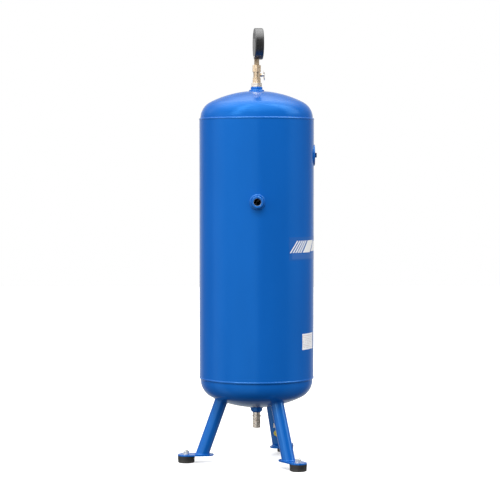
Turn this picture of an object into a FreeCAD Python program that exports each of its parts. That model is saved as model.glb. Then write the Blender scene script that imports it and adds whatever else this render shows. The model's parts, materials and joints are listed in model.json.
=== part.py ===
import FreeCAD, Part

import math
import os

os.makedirs("parts", exist_ok=True)

# Vertical 100 litre air receiver on three legs, with a gauge on a ball cock and a screw-down drain.
# Millimetres. Origin on the floor under the tank's axis, +Z up. The front, with the inspection
# port and the gauge's dial, faces -Y. The two side ports lie on the X axis.

# ---- Driving dimensions -------------------------------------------------------------------

# Vessel
SHELL_OD = 370.0
SHELL_WALL = 3.0
SHELL_BOTTOM = 278.0
SHELL_LENGTH = 832.0
HEAD_WALL = 3.0
CROWN_RADIUS = 330.0
KNUCKLE_RADIUS = 60.0
HEAD_INSERT = 20.0
TOP_FLANGE_SHOWN = 4.0
BOTTOM_FLANGE_SHOWN = 10.0
HEAD_FIT = 0.1
GIRTH_BEAD_PROUD = 1.3
GIRTH_BEAD_ON_SHELL = 2.5
GIRTH_BEAD_ON_HEAD = 5.5
SEAM_DIRECTION = 150.0
SEAM_WIDTH = 7.0
SEAM_PROUD = 0.9
SEAM_END_GAP = 4.0

# Screwed bosses; the bores are at the minor radius of the pipe threads
BOSS_OD = 38.0
PORT_BORE_RADIUS = 12.06
BOSS_CHAMFER = 1.5
TOP_BOSS_HEIGHT = 13.0
BOTTOM_BOSS_HEIGHT = 17.0
BOTTOM_BOSS_TAPER = 5.5
SIDE_BOSS_HEIGHT = 20.0
SIDE_PORT_BELOW_TOP = 263.0
BOSS_DEPTH_INSIDE = 2.0
WELD_LEG = 5.0
BORE_MOUTH = 1.0
PORT_PLUG_THREAD = 15.0
PORT_PLUG_FLANGE_RADIUS = 16.0
PORT_PLUG_FLANGE = 2.5
PORT_PLUG_FLATS = 22.0
PORT_PLUG_HEIGHT = 10.0
PORT_PLUG_KEY_FLATS = 10.0
PORT_PLUG_KEY_DEPTH = 7.0

# Inspection port
INSPECTION_BELOW_TOP = 114.0
INSPECTION_BOSS_OD = 66.0
INSPECTION_BORE_RADIUS = 28.3
INSPECTION_PROUD = 3.2
INSPECTION_BOSS_LENGTH = 16.0
PLUG_RIM_RADIUS = 30.9
PLUG_RIM_THICKNESS = 1.8
PLUG_SEAL_THICKNESS = 1.2
PLUG_THREAD_LENGTH = 11.0
PLUG_SQUARE = 15.0
PLUG_SQUARE_HEIGHT = 6.0

# Legs
LEG_TURN = 4.3
LEG_TUBE_OD = 42.4
LEG_TUBE_WALL = 2.6
LEG_SLOPE = 0.357
LEG_RADIUS_AT_PLATE = 177.0
LEG_WELD = 3.0
FOOT_RADIUS = 229.0
FOOT_HEIGHT = 22.0
FOOT_TOP_RADIUS = 28.0
FOOT_BOTTOM_RADIUS = 26.5
FOOT_ROUND = 3.0
PLATE_THICKNESS = 5.0
PLATE_OUTER_ROUND = 27.5
PLATE_INNER_ROUND = 25.0
PLATE_ARC_SPACING = 64.5
PLATE_EDGE = 0.8
STUD_RADIUS = 5.0
STUD_DISC_RADIUS = 16.0
STUD_DISC_THICKNESS = 3.0
STUD_DISC_DEPTH = 7.0
STUD_ABOVE_PLATE = 14.5
STUD_HOLE_CLEARANCE = 0.5
WASHER_RADIUS = 10.5
WASHER_THICKNESS = 2.0
FOOT_NUT_FLATS = 17.0
FOOT_NUT_HEIGHT = 8.0

# Films
FILM = 0.2
BANNER_ABOVE_SEAM = 384.0
BANNER_TALL = 73.5
BANNER_HALF_ANGLE = 57.1
DATA_ABOVE_SEAM = 97.0
DATA_TALL = 51.0
DATA_FROM = -38.7
DATA_TO = -14.7
STICKER_RADIUS = 11.0
ROUND_STICKER_HEIGHT = 74.0
SQUARE_STICKER_HEIGHT = 101.0
SQUARE_STICKER_SIDE = 16.0

# Gauge cock, turned with the gauge
GAUGE_TURN = 5.0
THREAD_FIT = 0.05
RUNNING_FIT = 0.05
REDUCER_FLATS = 32.0
REDUCER_HEX_HEIGHT = 13.0
REDUCER_THREAD_LENGTH = 14.0
COCK_THREAD_RADIUS = 6.58
COCK_THREAD_LENGTH = 11.0
COCK_HEX_FLATS = 24.5
COCK_HEX_HEIGHT = 17.0
COCK_BARREL_RADIUS = 10.5
COCK_BARREL_HEIGHT = 17.5
COCK_END_FLATS = 25.5
COCK_END_HEIGHT = 22.5
COCK_BORE_RADIUS = 3.25
BALL_RADIUS = 6.5
BALL_CAVITY_CLEARANCE = 0.3
BALL_ABOVE_HEX = 8.0
SEAT_HALF_SPAN = 6.3
SEAT_INNER_RADIUS = 4.0
STEM_RADIUS = 3.0
STEM_COLLAR_RADIUS = 4.2
STEM_COLLAR_START = 6.9
STEM_COLLAR_THICKNESS = 1.2
TANG_WIDTH = 5.8
TANG_THICKNESS = 2.0
TANG_DEPTH = 1.9
NECK_RADIUS = 6.0
NECK_END = 14.0
STEM_SEAL_START = 9.6
STEM_SEAL_LENGTH = 2.4
STEM_SEAL_RADIUS = 4.6
GLAND_FLATS = 11.0
GLAND_HEX_HEIGHT = 2.5
HANDLE_GAP = 0.3
HANDLE_HUB_RADIUS = 4.5
HANDLE_WING_START = 22.2
HANDLE_WING_THICKNESS = 2.6
HANDLE_HALF_SPAN = 16.0
HANDLE_SWEEP = 1.8
HANDLE_WAIST = 5.5
HANDLE_TIP_WIDTH = 7.0
HANDLE_SCREW_RADIUS = 1.5
HANDLE_SCREW_HEAD_RADIUS = 2.9
HANDLE_SCREW_HEAD = 1.2
HANDLE_SCREW_LENGTH = 5.0

# Pressure gauge
GAUGE_OD = 101.0
GAUGE_BACK = 8.5
GAUGE_CASE_FRONT = 14.0
GAUGE_WALL = 1.5
BEZEL_DEPTH = 5.5
BEZEL_CHAMFER = 2.0
BEZEL_LIP = 2.0
BEZEL_OPENING_RADIUS = 46.5
LENS_THICKNESS = 1.8
LENS_GAP = 0.2
SOCKET_STEM_HEIGHT = 18.0
SOCKET_SQUARE = 15.0
SOCKET_THREAD_LENGTH = 11.5
SOCKET_INSIDE_HEIGHT = 19.0
SOCKET_INSIDE_BACK = 5.0
SOCKET_CASE_GAP = 0.2
BOURDON_RADIUS = 34.0
BOURDON_DEPTH = 9.0
BOURDON_THICKNESS = 2.4
BOURDON_WALL = 0.5
BOURDON_START = -96.0
BOURDON_SWEEP = 250.0
TIP_SWEEP = 8.0
PLATE_SHEET = 1.0
PLATES_BACK = 5.0
PLATES_FRONT = -2.0
MOVEMENT_HALF_WIDTH = 13.0
MOVEMENT_TOP = 10.0
MOVEMENT_FRONT_BOTTOM = -27.0
MOVEMENT_BACK_BOTTOM = -44.0
MOVEMENT_POST_RADIUS = 2.0
MOVEMENT_POSTS = [(-11.0, -22.0), (-10.0, 6.0), (10.0, 6.0)]
ARBOR_RADIUS = 1.0
GEAR_MODULE = 0.4
PINION_TEETH = 12
SECTOR_TEETH = 84
GEAR_BACKLASH = 0.12
SECTOR_THICKNESS = 1.2
SECTOR_FRONT = 0.5
PINION_OVERHANG = 0.3
POINTER_SWEEP = 270.0
SECTOR_MARGIN = 6.0
SECTOR_TAIL = 9.0
LINK_THICKNESS = 0.8
LINK_GAP = 0.3
LINK_WIDTH = 2.4
LINK_EYE_RADIUS = 1.8
LINK_PIN_RADIUS = 0.6
TIP_POINT = (23.5, 4.0)
DIAL_PLANE = 7.6
DIAL_THICKNESS = 0.8
DIAL_RADIUS = 48.5
DIAL_HOLE_RADIUS = 2.0
DIAL_SCREW_RADIUS = 1.0
DIAL_SCREW_HEAD_RADIUS = 2.0
DIAL_SCREW_HEAD = 0.8
POINTER_PLANE = 9.6
POINTER_THICKNESS = 0.7
POINTER_LENGTH = 37.0
POINTER_TAIL = 12.0
POINTER_TAIL_WIDTH = 2.8
POINTER_MIDDLE_WIDTH = 2.2
POINTER_TIP_WIDTH = 0.6
POINTER_HUB_RADIUS = 3.0
POINTER_HUB_DEPTH = 2.2
HAIRSPRING_INNER = 1.5
HAIRSPRING_OUTER = 6.0
HAIRSPRING_TURNS = 4
HAIRSPRING_SHEET = 0.2
HAIRSPRING_WIDTH = 0.5
HAIRSPRING_PLANE = 1.0
HAIRSPRING_STUD_GAP = 0.8
BLOWOUT_RADIUS = 8.0
BLOWOUT_ABOVE_CENTRE = 26.0
BLOWOUT_PROUD = 0.8
SOCKET_SCREW_RADIUS = 1.5
SOCKET_SCREW_HEAD_RADIUS = 2.8
SOCKET_SCREW_HEAD = 1.6
SOCKET_SCREW_SPACING = 9.0
SOCKET_SCREW_ABOVE_RIM = 6.0
SOCKET_SCREW_LENGTH = 6.0

# Drain valve
DRAIN_THREAD_LENGTH = 16.0
DRAIN_COLLAR_RADIUS = 12.3
DRAIN_COLLAR_HEIGHT = 5.0
DRAIN_NECK_RADIUS = 11.0
DRAIN_NECK_HEIGHT = 2.5
DRAIN_FLATS = 25.2
DRAIN_HEX_HEIGHT = 17.5
DRAIN_RING_RADIUS = 14.0
DRAIN_RING_BELOW_NECK = 3.0
DRAIN_RING_HEIGHT = 4.0
DRAIN_KNOB_HEIGHT = 25.7
DRAIN_KNOB_GAP = 0.3
DRAIN_SEAT_RADIUS = 4.0
DRAIN_SEAT_ABOVE_COLLAR = 4.0
DRAIN_CHAMBER_RADIUS = 7.0
DRAIN_SPIGOT_HEIGHT = 19.0
DRAIN_BORE_RADIUS = 3.6
DRAIN_OUTLET_RADIUS = 5.0
DRAIN_OUTLET_DEPTH = 8.0
DRAIN_POPPET_RADIUS = 6.0
DRAIN_POPPET_STEM = 12.0
DRAIN_STEM_FLAT = 2.4
DRAIN_SEAL_RADIUS = 5.5
DRAIN_SEAL_THICKNESS = 1.5
DRAIN_SEAT_GAP = 0.05
DRAIN_LIFT_GAP = 0.3
DRAIN_GROOVE_WIDTH = 1.0
DRAIN_GROOVE_DEPTH = 0.35
DRAIN_ORING_SECTION = 1.0
DRAIN_ORING_ABOVE_HEX = 4.0
DRAIN_ROUND = 1.5

# ---- Worked-out places ---------------------------------------------------------------------

SHELL_RADIUS = SHELL_OD / 2
SHELL_BORE = SHELL_RADIUS - SHELL_WALL
SHELL_TOP = SHELL_BOTTOM + SHELL_LENGTH
SIDE_PORT_HEIGHT = SHELL_TOP - SIDE_PORT_BELOW_TOP
INSPECTION_HEIGHT = SHELL_TOP - INSPECTION_BELOW_TOP
BANNER_LOW = SHELL_BOTTOM + BANNER_ABOVE_SEAM
BANNER_HIGH = BANNER_LOW + BANNER_TALL
DATA_LOW = SHELL_BOTTOM + DATA_ABOVE_SEAM
DATA_HIGH = DATA_LOW + DATA_TALL
HEAD_RADIUS = SHELL_BORE - HEAD_FIT
TOP_TANGENT = SHELL_TOP + TOP_FLANGE_SHOWN
BOTTOM_TANGENT = SHELL_BOTTOM - BOTTOM_FLANGE_SHOWN
DOME_HEIGHT = CROWN_RADIUS - math.sqrt(
    (CROWN_RADIUS - KNUCKLE_RADIUS) ** 2 - (HEAD_RADIUS - KNUCKLE_RADIUS) ** 2
)
TOP_APEX = TOP_TANGENT + DOME_HEIGHT
BOTTOM_APEX = BOTTOM_TANGENT - DOME_HEIGHT
BOSS_RADIUS = BOSS_OD / 2
TOP_BOSS_FACE = TOP_APEX + TOP_BOSS_HEIGHT
BOTTOM_BOSS_FACE = BOTTOM_APEX - BOTTOM_BOSS_HEIGHT

LEG_TUBE_RADIUS = LEG_TUBE_OD / 2
PLATE_TOP = FOOT_HEIGHT + PLATE_THICKNESS
LEGS = {"left": -60.0 + LEG_TURN, "right": 60.0 + LEG_TURN, "rear": 180.0 + LEG_TURN}

REDUCER_TOP = TOP_BOSS_FACE + REDUCER_HEX_HEIGHT
COCK_HEX_TOP = REDUCER_TOP + COCK_HEX_HEIGHT
COCK_BARREL_TOP = COCK_HEX_TOP + COCK_BARREL_HEIGHT
COCK_TOP = COCK_BARREL_TOP + COCK_END_HEIGHT
BALL_CENTRE = COCK_HEX_TOP + BALL_ABOVE_HEX
BALL_CAVITY = BALL_RADIUS + BALL_CAVITY_CLEARANCE

GAUGE_RADIUS = GAUGE_OD / 2
GAUGE_CENTRE = COCK_TOP + SOCKET_STEM_HEIGHT + GAUGE_RADIUS
GAUGE_BORE = GAUGE_RADIUS - GAUGE_WALL
PINION_PITCH = GEAR_MODULE * PINION_TEETH / 2
SECTOR_PITCH = GEAR_MODULE * SECTOR_TEETH / 2
SECTOR_PIVOT = -(PINION_PITCH + SECTOR_PITCH)
SECTOR_TRAVEL = POINTER_SWEEP * PINION_TEETH / SECTOR_TEETH
TAIL_ANGLE = math.radians(315.0 - SECTOR_TRAVEL / 2)
TAIL_POINT = (
    SECTOR_TAIL * math.cos(TAIL_ANGLE),
    SECTOR_PIVOT + SECTOR_TAIL * math.sin(TAIL_ANGLE),
)
HAIRSPRING_STUD = (-HAIRSPRING_OUTER - HAIRSPRING_STUD_GAP, 0.0)

DRAIN_COLLAR_BOTTOM = BOTTOM_BOSS_FACE - DRAIN_COLLAR_HEIGHT
DRAIN_HEX_TOP = DRAIN_COLLAR_BOTTOM - DRAIN_NECK_HEIGHT
DRAIN_HEX_BOTTOM = DRAIN_HEX_TOP - DRAIN_HEX_HEIGHT
DRAIN_SEAT = BOTTOM_BOSS_FACE + DRAIN_SEAT_ABOVE_COLLAR
KNOB_TOP = DRAIN_HEX_BOTTOM - DRAIN_KNOB_GAP
KNOB_BOTTOM = KNOB_TOP - DRAIN_KNOB_HEIGHT
SPIGOT_TOP = KNOB_TOP + DRAIN_SPIGOT_HEIGHT

# ---- Helpers -------------------------------------------------------------------------------

V = FreeCAD.Vector
UP = V(0, 0, 1)
FRONT = V(0, -1, 0)
CENTRE = V(0, 0, 0)


def save(name, *solids):
    """One STEP file per node; several solids become one compound."""
    shape = solids[0] if len(solids) == 1 else Part.makeCompound(list(solids))
    shape.exportStep("parts/" + name + ".step")


def rod(radius, low, high):
    """A round bar on the Z axis between two heights."""
    return Part.makeCylinder(radius, high - low, V(0, 0, low))


def ring(outer, inner, low, high):
    return rod(outer, low, high).cut(rod(inner, low, high))


def spun(points):
    """A closed outline of (radius, height) points, turned about the Z axis."""
    corners = [V(r, 0, z) for r, z in points]
    face = Part.Face(Part.makePolygon(corners + corners[:1]))
    return face.revolve(CENTRE, UP, 360)


def block(x0, x1, y0, y1, z0, z1):
    return Part.makeBox(x1 - x0, y1 - y0, z1 - z0, V(x0, y0, z0))


def aimed(shape, direction, start=CENTRE):
    """Turns a shape built on the Z axis to point along a direction from a start point."""
    moved = shape.copy()
    moved.Placement = FreeCAD.Placement(start, FreeCAD.Rotation(UP, direction))
    return moved


def turned(shape, degrees):
    moved = shape.copy()
    moved.rotate(CENTRE, UP, degrees)
    return moved


def mirrored_down(shape, height):
    return shape.mirror(V(0, 0, height), UP)


def hexagon(flats, low, high, chamfer=0.0):
    """A hexagon bar with a corner on the X axis and, if asked, chamfered ends."""
    corner = flats / 2 / math.cos(math.radians(30))
    points = [
        V(corner * math.cos(math.radians(a)), corner * math.sin(math.radians(a)), low)
        for a in range(0, 360, 60)
    ]
    bar = Part.Face(Part.makePolygon(points + points[:1])).extrude(V(0, 0, high - low))
    if chamfer == 0.0:
        return bar
    edge = flats / 2
    rise = chamfer
    return bar.common(
        spun(
            [
                (0, low),
                (edge, low),
                (corner, low + rise),
                (corner, high - rise),
                (edge, high),
                (0, high),
            ]
        )
    )


def heading(degrees):
    """The level direction at an angle from the front, towards +X."""
    a = math.radians(degrees)
    return V(math.sin(a), -math.cos(a), 0)


# ---- Vessel --------------------------------------------------------------------------------


def head_edges(crown, knuckle, rim):
    """Knuckle and crown arcs of a torispherical head, its tangent line at height 0."""
    knuckle_centre = V(rim - knuckle, 0, 0)
    rise = math.sqrt((crown - knuckle) ** 2 - (rim - knuckle) ** 2)
    crown_centre = V(0, 0, -rise)
    lean = math.atan2(rim - knuckle, rise)

    def on_crown(angle):
        return crown_centre + V(crown * math.sin(angle), 0, crown * math.cos(angle))

    def on_knuckle(angle):
        return knuckle_centre + V(knuckle * math.sin(angle), 0, knuckle * math.cos(angle))

    middle = (lean + math.pi / 2) / 2
    bend = Part.Arc(V(rim, 0, 0), on_knuckle(middle), on_knuckle(lean)).toShape()
    dome = Part.Arc(on_crown(lean), on_crown(lean / 2), on_crown(0)).toShape()
    return [bend, dome]


def line(a, b):
    return Part.LineSegment(a, b).toShape()


def dome_solid(flange, shrink=0.0):
    """The full solid inside a head's outer surface, down to the end of its flange."""
    rim = HEAD_RADIUS - shrink
    top = V(0, 0, DOME_HEIGHT - shrink)
    edges = [line(V(rim, 0, -flange), V(rim, 0, 0))]
    edges += head_edges(CROWN_RADIUS - shrink, KNUCKLE_RADIUS - shrink, rim)
    edges += [line(top, V(0, 0, -flange)), line(V(0, 0, -flange), V(rim, 0, -flange))]
    face = Part.Face(Part.Wire(edges))
    return face.revolve(CENTRE, UP, 360)


def placed_dome(flange, top, shrink=0.0):
    dome = dome_solid(flange, shrink)
    if top:
        dome.translate(V(0, 0, TOP_TANGENT))
        return dome
    dome = mirrored_down(dome, 0)
    dome.translate(V(0, 0, BOTTOM_TANGENT))
    return dome


def make_head(top):
    flange = HEAD_INSERT + (TOP_FLANGE_SHOWN if top else BOTTOM_FLANGE_SHOWN)
    hollow = placed_dome(flange, top, HEAD_WALL)
    head = placed_dome(flange, top).cut(hollow)
    reach = TOP_APEX if top else BOTTOM_APEX
    return head.cut(rod(BOSS_RADIUS, reach - BOSS_OD, reach + BOSS_OD))


def girth_weld(top):
    """A convex bead in the step between the shell's end and the head's flange."""
    end = SHELL_TOP if top else SHELL_BOTTOM
    way = 1 if top else -1
    on_head = V(HEAD_RADIUS, 0, end + way * GIRTH_BEAD_ON_HEAD)
    step = V(HEAD_RADIUS, 0, end)
    corner = V(SHELL_RADIUS, 0, end)
    on_shell = V(SHELL_RADIUS, 0, end - way * GIRTH_BEAD_ON_SHELL)
    crest = V(SHELL_RADIUS + GIRTH_BEAD_PROUD, 0, end + way * GIRTH_BEAD_PROUD / 2)
    edges = [line(on_head, step), line(step, corner), line(corner, on_shell)]
    edges.append(Part.Arc(on_shell, crest, on_head).toShape())
    return Part.Face(Part.Wire(edges)).revolve(CENTRE, UP, 360)


def socket_boss(length, taper, taper_height):
    """A boss on the Z axis, its open face at height 0 and its body below it."""
    outer = spun(
        [
            (0, -length),
            (BOSS_RADIUS, -length),
            (BOSS_RADIUS, -taper_height),
            (BOSS_RADIUS - taper, 0),
            (0, 0),
        ]
    )
    mouth = PORT_BORE_RADIUS + BORE_MOUTH
    countersink = spun([(0, -mouth), (mouth, 0), (0, 0)])
    return outer.cut(rod(PORT_BORE_RADIUS, -length, 0)).cut(countersink)


def fillet_ring(radius, leg, surface, sink):
    """A sloping ring round a boss on the Z axis, from below a surface to a leg above it."""
    return spun(
        [
            (radius, surface + leg),
            (radius, surface - sink),
            (radius + leg + sink, surface - sink),
        ]
    )


SHELL_SOLID = rod(SHELL_RADIUS, SHELL_BOTTOM, SHELL_TOP)
BOTTOM_SOLID = placed_dome(HEAD_INSERT + BOTTOM_FLANGE_SHOWN, False)

side_boss_length = SIDE_BOSS_HEIGHT + SHELL_WALL + BOSS_DEPTH_INSIDE
inspection_centre = FRONT * (SHELL_RADIUS + INSPECTION_PROUD) + UP * INSPECTION_HEIGHT
SIDE_WAYS = {"left": V(-1, 0, 0), "right": V(1, 0, 0)}


def make_shell():
    shell = ring(SHELL_RADIUS, SHELL_BORE, SHELL_BOTTOM, SHELL_TOP)
    for way in SIDE_WAYS.values():
        drill = rod(BOSS_RADIUS, 0, SHELL_OD / 2 + SIDE_BOSS_HEIGHT)
        shell = shell.cut(aimed(drill, way, UP * SIDE_PORT_HEIGHT))
    drill = rod(INSPECTION_BOSS_OD / 2, 0, SHELL_OD)
    return shell.cut(aimed(drill, FRONT, UP * INSPECTION_HEIGHT))


def make_seam():
    """A low flat bead along the shell, from one girth weld to the other."""
    strip = ring(
        SHELL_RADIUS + SEAM_PROUD,
        SHELL_RADIUS,
        SHELL_BOTTOM + SEAM_END_GAP,
        SHELL_TOP - SEAM_END_GAP,
    )
    low, high = SHELL_BOTTOM, SHELL_TOP
    slab = block(-SEAM_WIDTH / 2, SEAM_WIDTH / 2, -SHELL_OD, 0, low, high)
    return turned(strip.common(slab), SEAM_DIRECTION)


def make_vessel():
    save("tank_shell", make_shell())
    save("shell_seam_weld", make_seam())
    save("top_head", make_head(True))
    save("bottom_head", make_head(False))
    save("girth_welds", girth_weld(True), girth_weld(False))

    top_length = TOP_BOSS_HEIGHT + HEAD_WALL + BOSS_DEPTH_INSIDE
    top_boss = socket_boss(top_length, BOSS_CHAMFER, BOSS_CHAMFER)
    top_boss.translate(V(0, 0, TOP_BOSS_FACE))
    save("top_boss", top_boss)

    bottom_length = BOTTOM_BOSS_HEIGHT + HEAD_WALL + BOSS_DEPTH_INSIDE
    bottom_boss = socket_boss(bottom_length, BOTTOM_BOSS_TAPER, BOTTOM_BOSS_TAPER)
    save("bottom_boss", aimed(bottom_boss, -UP, V(0, 0, BOTTOM_BOSS_FACE)))

    side_boss = socket_boss(side_boss_length, BOSS_CHAMFER, BOSS_CHAMFER)
    face = SHELL_RADIUS + SIDE_BOSS_HEIGHT
    for name, way in SIDE_WAYS.items():
        spot = way * face + UP * SIDE_PORT_HEIGHT
        save(name + "_port_boss", aimed(side_boss, way, spot))
    spot = SIDE_WAYS["right"] * face + UP * SIDE_PORT_HEIGHT
    save("right_port_plug", aimed(port_plug(), SIDE_WAYS["right"], spot))


def port_plug():
    """A flanged hexagon plug with a key socket, its flange's seat at height 0."""
    plug = rod(PORT_BORE_RADIUS - THREAD_FIT, -PORT_PLUG_THREAD, 0)
    plug = plug.fuse(rod(PORT_PLUG_FLANGE_RADIUS, 0, PORT_PLUG_FLANGE))
    plug = plug.fuse(hexagon(PORT_PLUG_FLATS, 0, PORT_PLUG_HEIGHT, BORE_MOUTH))
    key_floor = PORT_PLUG_HEIGHT - PORT_PLUG_KEY_DEPTH
    plug = plug.cut(hexagon(PORT_PLUG_KEY_FLATS, key_floor, PORT_PLUG_HEIGHT))
    return plug.removeSplitter()


def crown_weld():
    """A fillet round a boss in the middle of a head, its foot on the crown's curve."""

    def on_crown(radius):
        height = math.sqrt(CROWN_RADIUS**2 - radius**2) - (CROWN_RADIUS - DOME_HEIGHT)
        return V(radius, 0, height)

    near = on_crown(BOSS_RADIUS)
    far = on_crown(BOSS_RADIUS + WELD_LEG)
    peak = near + UP * WELD_LEG
    foot = Part.Arc(near, on_crown(BOSS_RADIUS + WELD_LEG / 2), far).toShape()
    edges = [line(near, peak), line(peak, far), foot]
    return Part.Face(Part.Wire(edges)).revolve(CENTRE, UP, 360)


def make_boss_welds():
    top = crown_weld()
    bottom = mirrored_down(top, 0)
    top.translate(V(0, 0, TOP_TANGENT))
    bottom.translate(V(0, 0, BOTTOM_TANGENT))
    side = fillet_ring(BOSS_RADIUS, WELD_LEG, SHELL_RADIUS, WELD_LEG)
    sides = [
        aimed(side, way, UP * SIDE_PORT_HEIGHT).cut(SHELL_SOLID)
        for way in SIDE_WAYS.values()
    ]
    inspection_radius = INSPECTION_BOSS_OD / 2
    drop = SHELL_RADIUS - math.sqrt(SHELL_RADIUS**2 - inspection_radius**2)
    round_port = spun(
        [
            (inspection_radius, SHELL_RADIUS + INSPECTION_PROUD / 2),
            (inspection_radius, SHELL_RADIUS - 2 * drop),
            (inspection_radius + 2 * drop, SHELL_RADIUS - 2 * drop),
        ]
    )
    round_port = aimed(round_port, FRONT, UP * INSPECTION_HEIGHT).cut(SHELL_SOLID)
    save("boss_welds", top, bottom, *sides, *round_port.Solids)


def make_inspection_port():
    """Built on the Z axis with the boss face at height 0, then aimed to the front."""
    seat = -PLUG_RIM_THICKNESS - PLUG_SEAL_THICKNESS
    recess = PLUG_RIM_RADIUS + RUNNING_FIT
    boss = ring(INSPECTION_BOSS_OD / 2, INSPECTION_BORE_RADIUS, -INSPECTION_BOSS_LENGTH, 0)
    boss = boss.cut(rod(recess, seat, 0))
    seal = ring(recess, INSPECTION_BORE_RADIUS, seat, -PLUG_RIM_THICKNESS)
    plug = rod(PLUG_RIM_RADIUS, -PLUG_RIM_THICKNESS, 0)
    thread = rod(
        INSPECTION_BORE_RADIUS - THREAD_FIT, -PLUG_THREAD_LENGTH, -PLUG_RIM_THICKNESS
    )
    half = PLUG_SQUARE / 2
    plug = plug.fuse(thread).fuse(block(-half, half, -half, half, 0, PLUG_SQUARE_HEIGHT))
    hollow_radius = INSPECTION_BORE_RADIUS - 2 * SHELL_WALL
    hollow = rod(hollow_radius, -PLUG_THREAD_LENGTH, -PLUG_THREAD_LENGTH / 2)
    plug = plug.cut(hollow).removeSplitter()
    for name, piece in (
        ("inspection_boss", boss),
        ("inspection_seal", seal),
        ("inspection_plug", plug),
    ):
        save(name, aimed(piece, FRONT, inspection_centre))


# ---- Legs ----------------------------------------------------------------------------------

# Every leg is built towards +X and then turned to its heading.
LEG_START = V(LEG_RADIUS_AT_PLATE, 0, PLATE_TOP)
LEG_WAY = V(-LEG_SLOPE, 0, 1).normalize()


def leg_bar(radius, above_plate):
    """A round bar on the leg's axis, from the plate's top up into the bottom head."""
    extra = LEG_TUBE_OD
    rise = BOTTOM_TANGENT - PLATE_TOP
    length = rise / LEG_WAY.z + extra
    start = LEG_START - LEG_WAY * extra
    bar = aimed(rod(radius, 0, length), LEG_WAY, start)
    reach = 2 * FOOT_RADIUS
    return bar.cut(block(-reach, reach, -reach, reach, -reach, PLATE_TOP + above_plate))


def to_heading(shape, heading_degrees):
    """Turns a shape built towards +X to a heading measured from the front."""
    return turned(shape, heading_degrees - 90.0)


def make_leg_tube():
    tube = leg_bar(LEG_TUBE_RADIUS, 0).cut(leg_bar(LEG_TUBE_RADIUS - LEG_TUBE_WALL, 0))
    return tube.cut(BOTTOM_SOLID)


def leg_weld_pair():
    collar = leg_bar(LEG_TUBE_RADIUS + LEG_WELD, 0).cut(leg_bar(LEG_TUBE_RADIUS, 0))
    foot = collar.common(
        rod(2 * FOOT_RADIUS, PLATE_TOP, PLATE_TOP + LEG_WELD)
    )
    grown = placed_dome(HEAD_INSERT, False, -LEG_WELD)
    head = collar.common(grown).cut(BOTTOM_SOLID)
    return [foot, head]


def make_foot_plate():
    """Two arcs joined by their tangents, with the foot's hole in the outer one."""
    centres = (FOOT_RADIUS, FOOT_RADIUS - PLATE_ARC_SPACING)
    radii = (PLATE_OUTER_ROUND, PLATE_INNER_ROUND)
    nx = (radii[0] - radii[1]) / PLATE_ARC_SPACING
    ny = math.sqrt(1 - nx * nx)

    def tangent(i, side):
        return V(centres[i] + radii[i] * nx, side * radii[i] * ny, FOOT_HEIGHT)

    tip = V(centres[0] + radii[0], 0, FOOT_HEIGHT)
    heel = V(centres[1] - radii[1], 0, FOOT_HEIGHT)
    edges = [
        Part.Arc(tangent(0, -1), tip, tangent(0, 1)).toShape(),
        line(tangent(0, 1), tangent(1, 1)),
        Part.Arc(tangent(1, 1), heel, tangent(1, -1)).toShape(),
        line(tangent(1, -1), tangent(0, -1)),
    ]
    plate = Part.Face(Part.Wire(edges)).extrude(V(0, 0, PLATE_THICKNESS))
    rims = [e for e in plate.Edges if abs(e.BoundBox.ZMax - e.BoundBox.ZMin) < PLATE_EDGE]
    plate = plate.makeFillet(PLATE_EDGE, rims)
    hole = rod(STUD_RADIUS + STUD_HOLE_CLEARANCE, 0, PLATE_TOP)
    hole.translate(V(FOOT_RADIUS, 0, 0))
    return plate.cut(hole)


def at_foot(shape):
    moved = shape.copy()
    moved.translate(V(FOOT_RADIUS, 0, 0))
    return moved


def make_stud():
    disc_low = FOOT_HEIGHT - STUD_DISC_DEPTH
    disc = rod(STUD_DISC_RADIUS, disc_low, disc_low + STUD_DISC_THICKNESS)
    shank = rod(STUD_RADIUS, disc_low, PLATE_TOP + STUD_ABOVE_PLATE)
    tip = PLATE_TOP + STUD_ABOVE_PLATE
    stud = disc.fuse(shank).removeSplitter()
    top_edges = [e for e in stud.Edges if e.BoundBox.ZMin > tip - BORE_MOUTH / 2]
    return at_foot(stud.makeChamfer(BORE_MOUTH, top_edges))


def make_rubber_foot(stud):
    body = spun(
        [
            (0, 0),
            (FOOT_BOTTOM_RADIUS, 0),
            (FOOT_TOP_RADIUS, FOOT_HEIGHT),
            (0, FOOT_HEIGHT),
        ]
    )
    lower = [e for e in body.Edges if e.BoundBox.ZMax < FOOT_ROUND]
    body = body.makeFillet(FOOT_ROUND, lower)
    return at_foot(body).cut(stud)


def make_legs():
    tube = make_leg_tube()
    plate = make_foot_plate()
    stud = make_stud()
    rubber = make_rubber_foot(stud)
    washer_top = PLATE_TOP + WASHER_THICKNESS
    washer = at_foot(ring(WASHER_RADIUS, STUD_RADIUS + THREAD_FIT, PLATE_TOP, washer_top))
    nut = hexagon(FOOT_NUT_FLATS, washer_top, washer_top + FOOT_NUT_HEIGHT, BORE_MOUTH)
    nut = at_foot(nut.cut(rod(STUD_RADIUS, washer_top, washer_top + FOOT_NUT_HEIGHT)))
    for name, degrees in LEGS.items():
        save("leg_tube_" + name, to_heading(tube, degrees))
        save("foot_plate_" + name, to_heading(plate, degrees))
        save("rubber_foot_" + name, to_heading(rubber, degrees))
    headings = LEGS.values()
    save("leg_welds", *[to_heading(w, a) for a in headings for w in leg_weld_pair()])
    save("foot_studs", *[to_heading(stud, a) for a in headings])
    save("foot_washers", *[to_heading(washer, a) for a in headings])
    save("foot_nuts", *[to_heading(nut, a) for a in headings])


# ---- Films ---------------------------------------------------------------------------------


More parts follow.
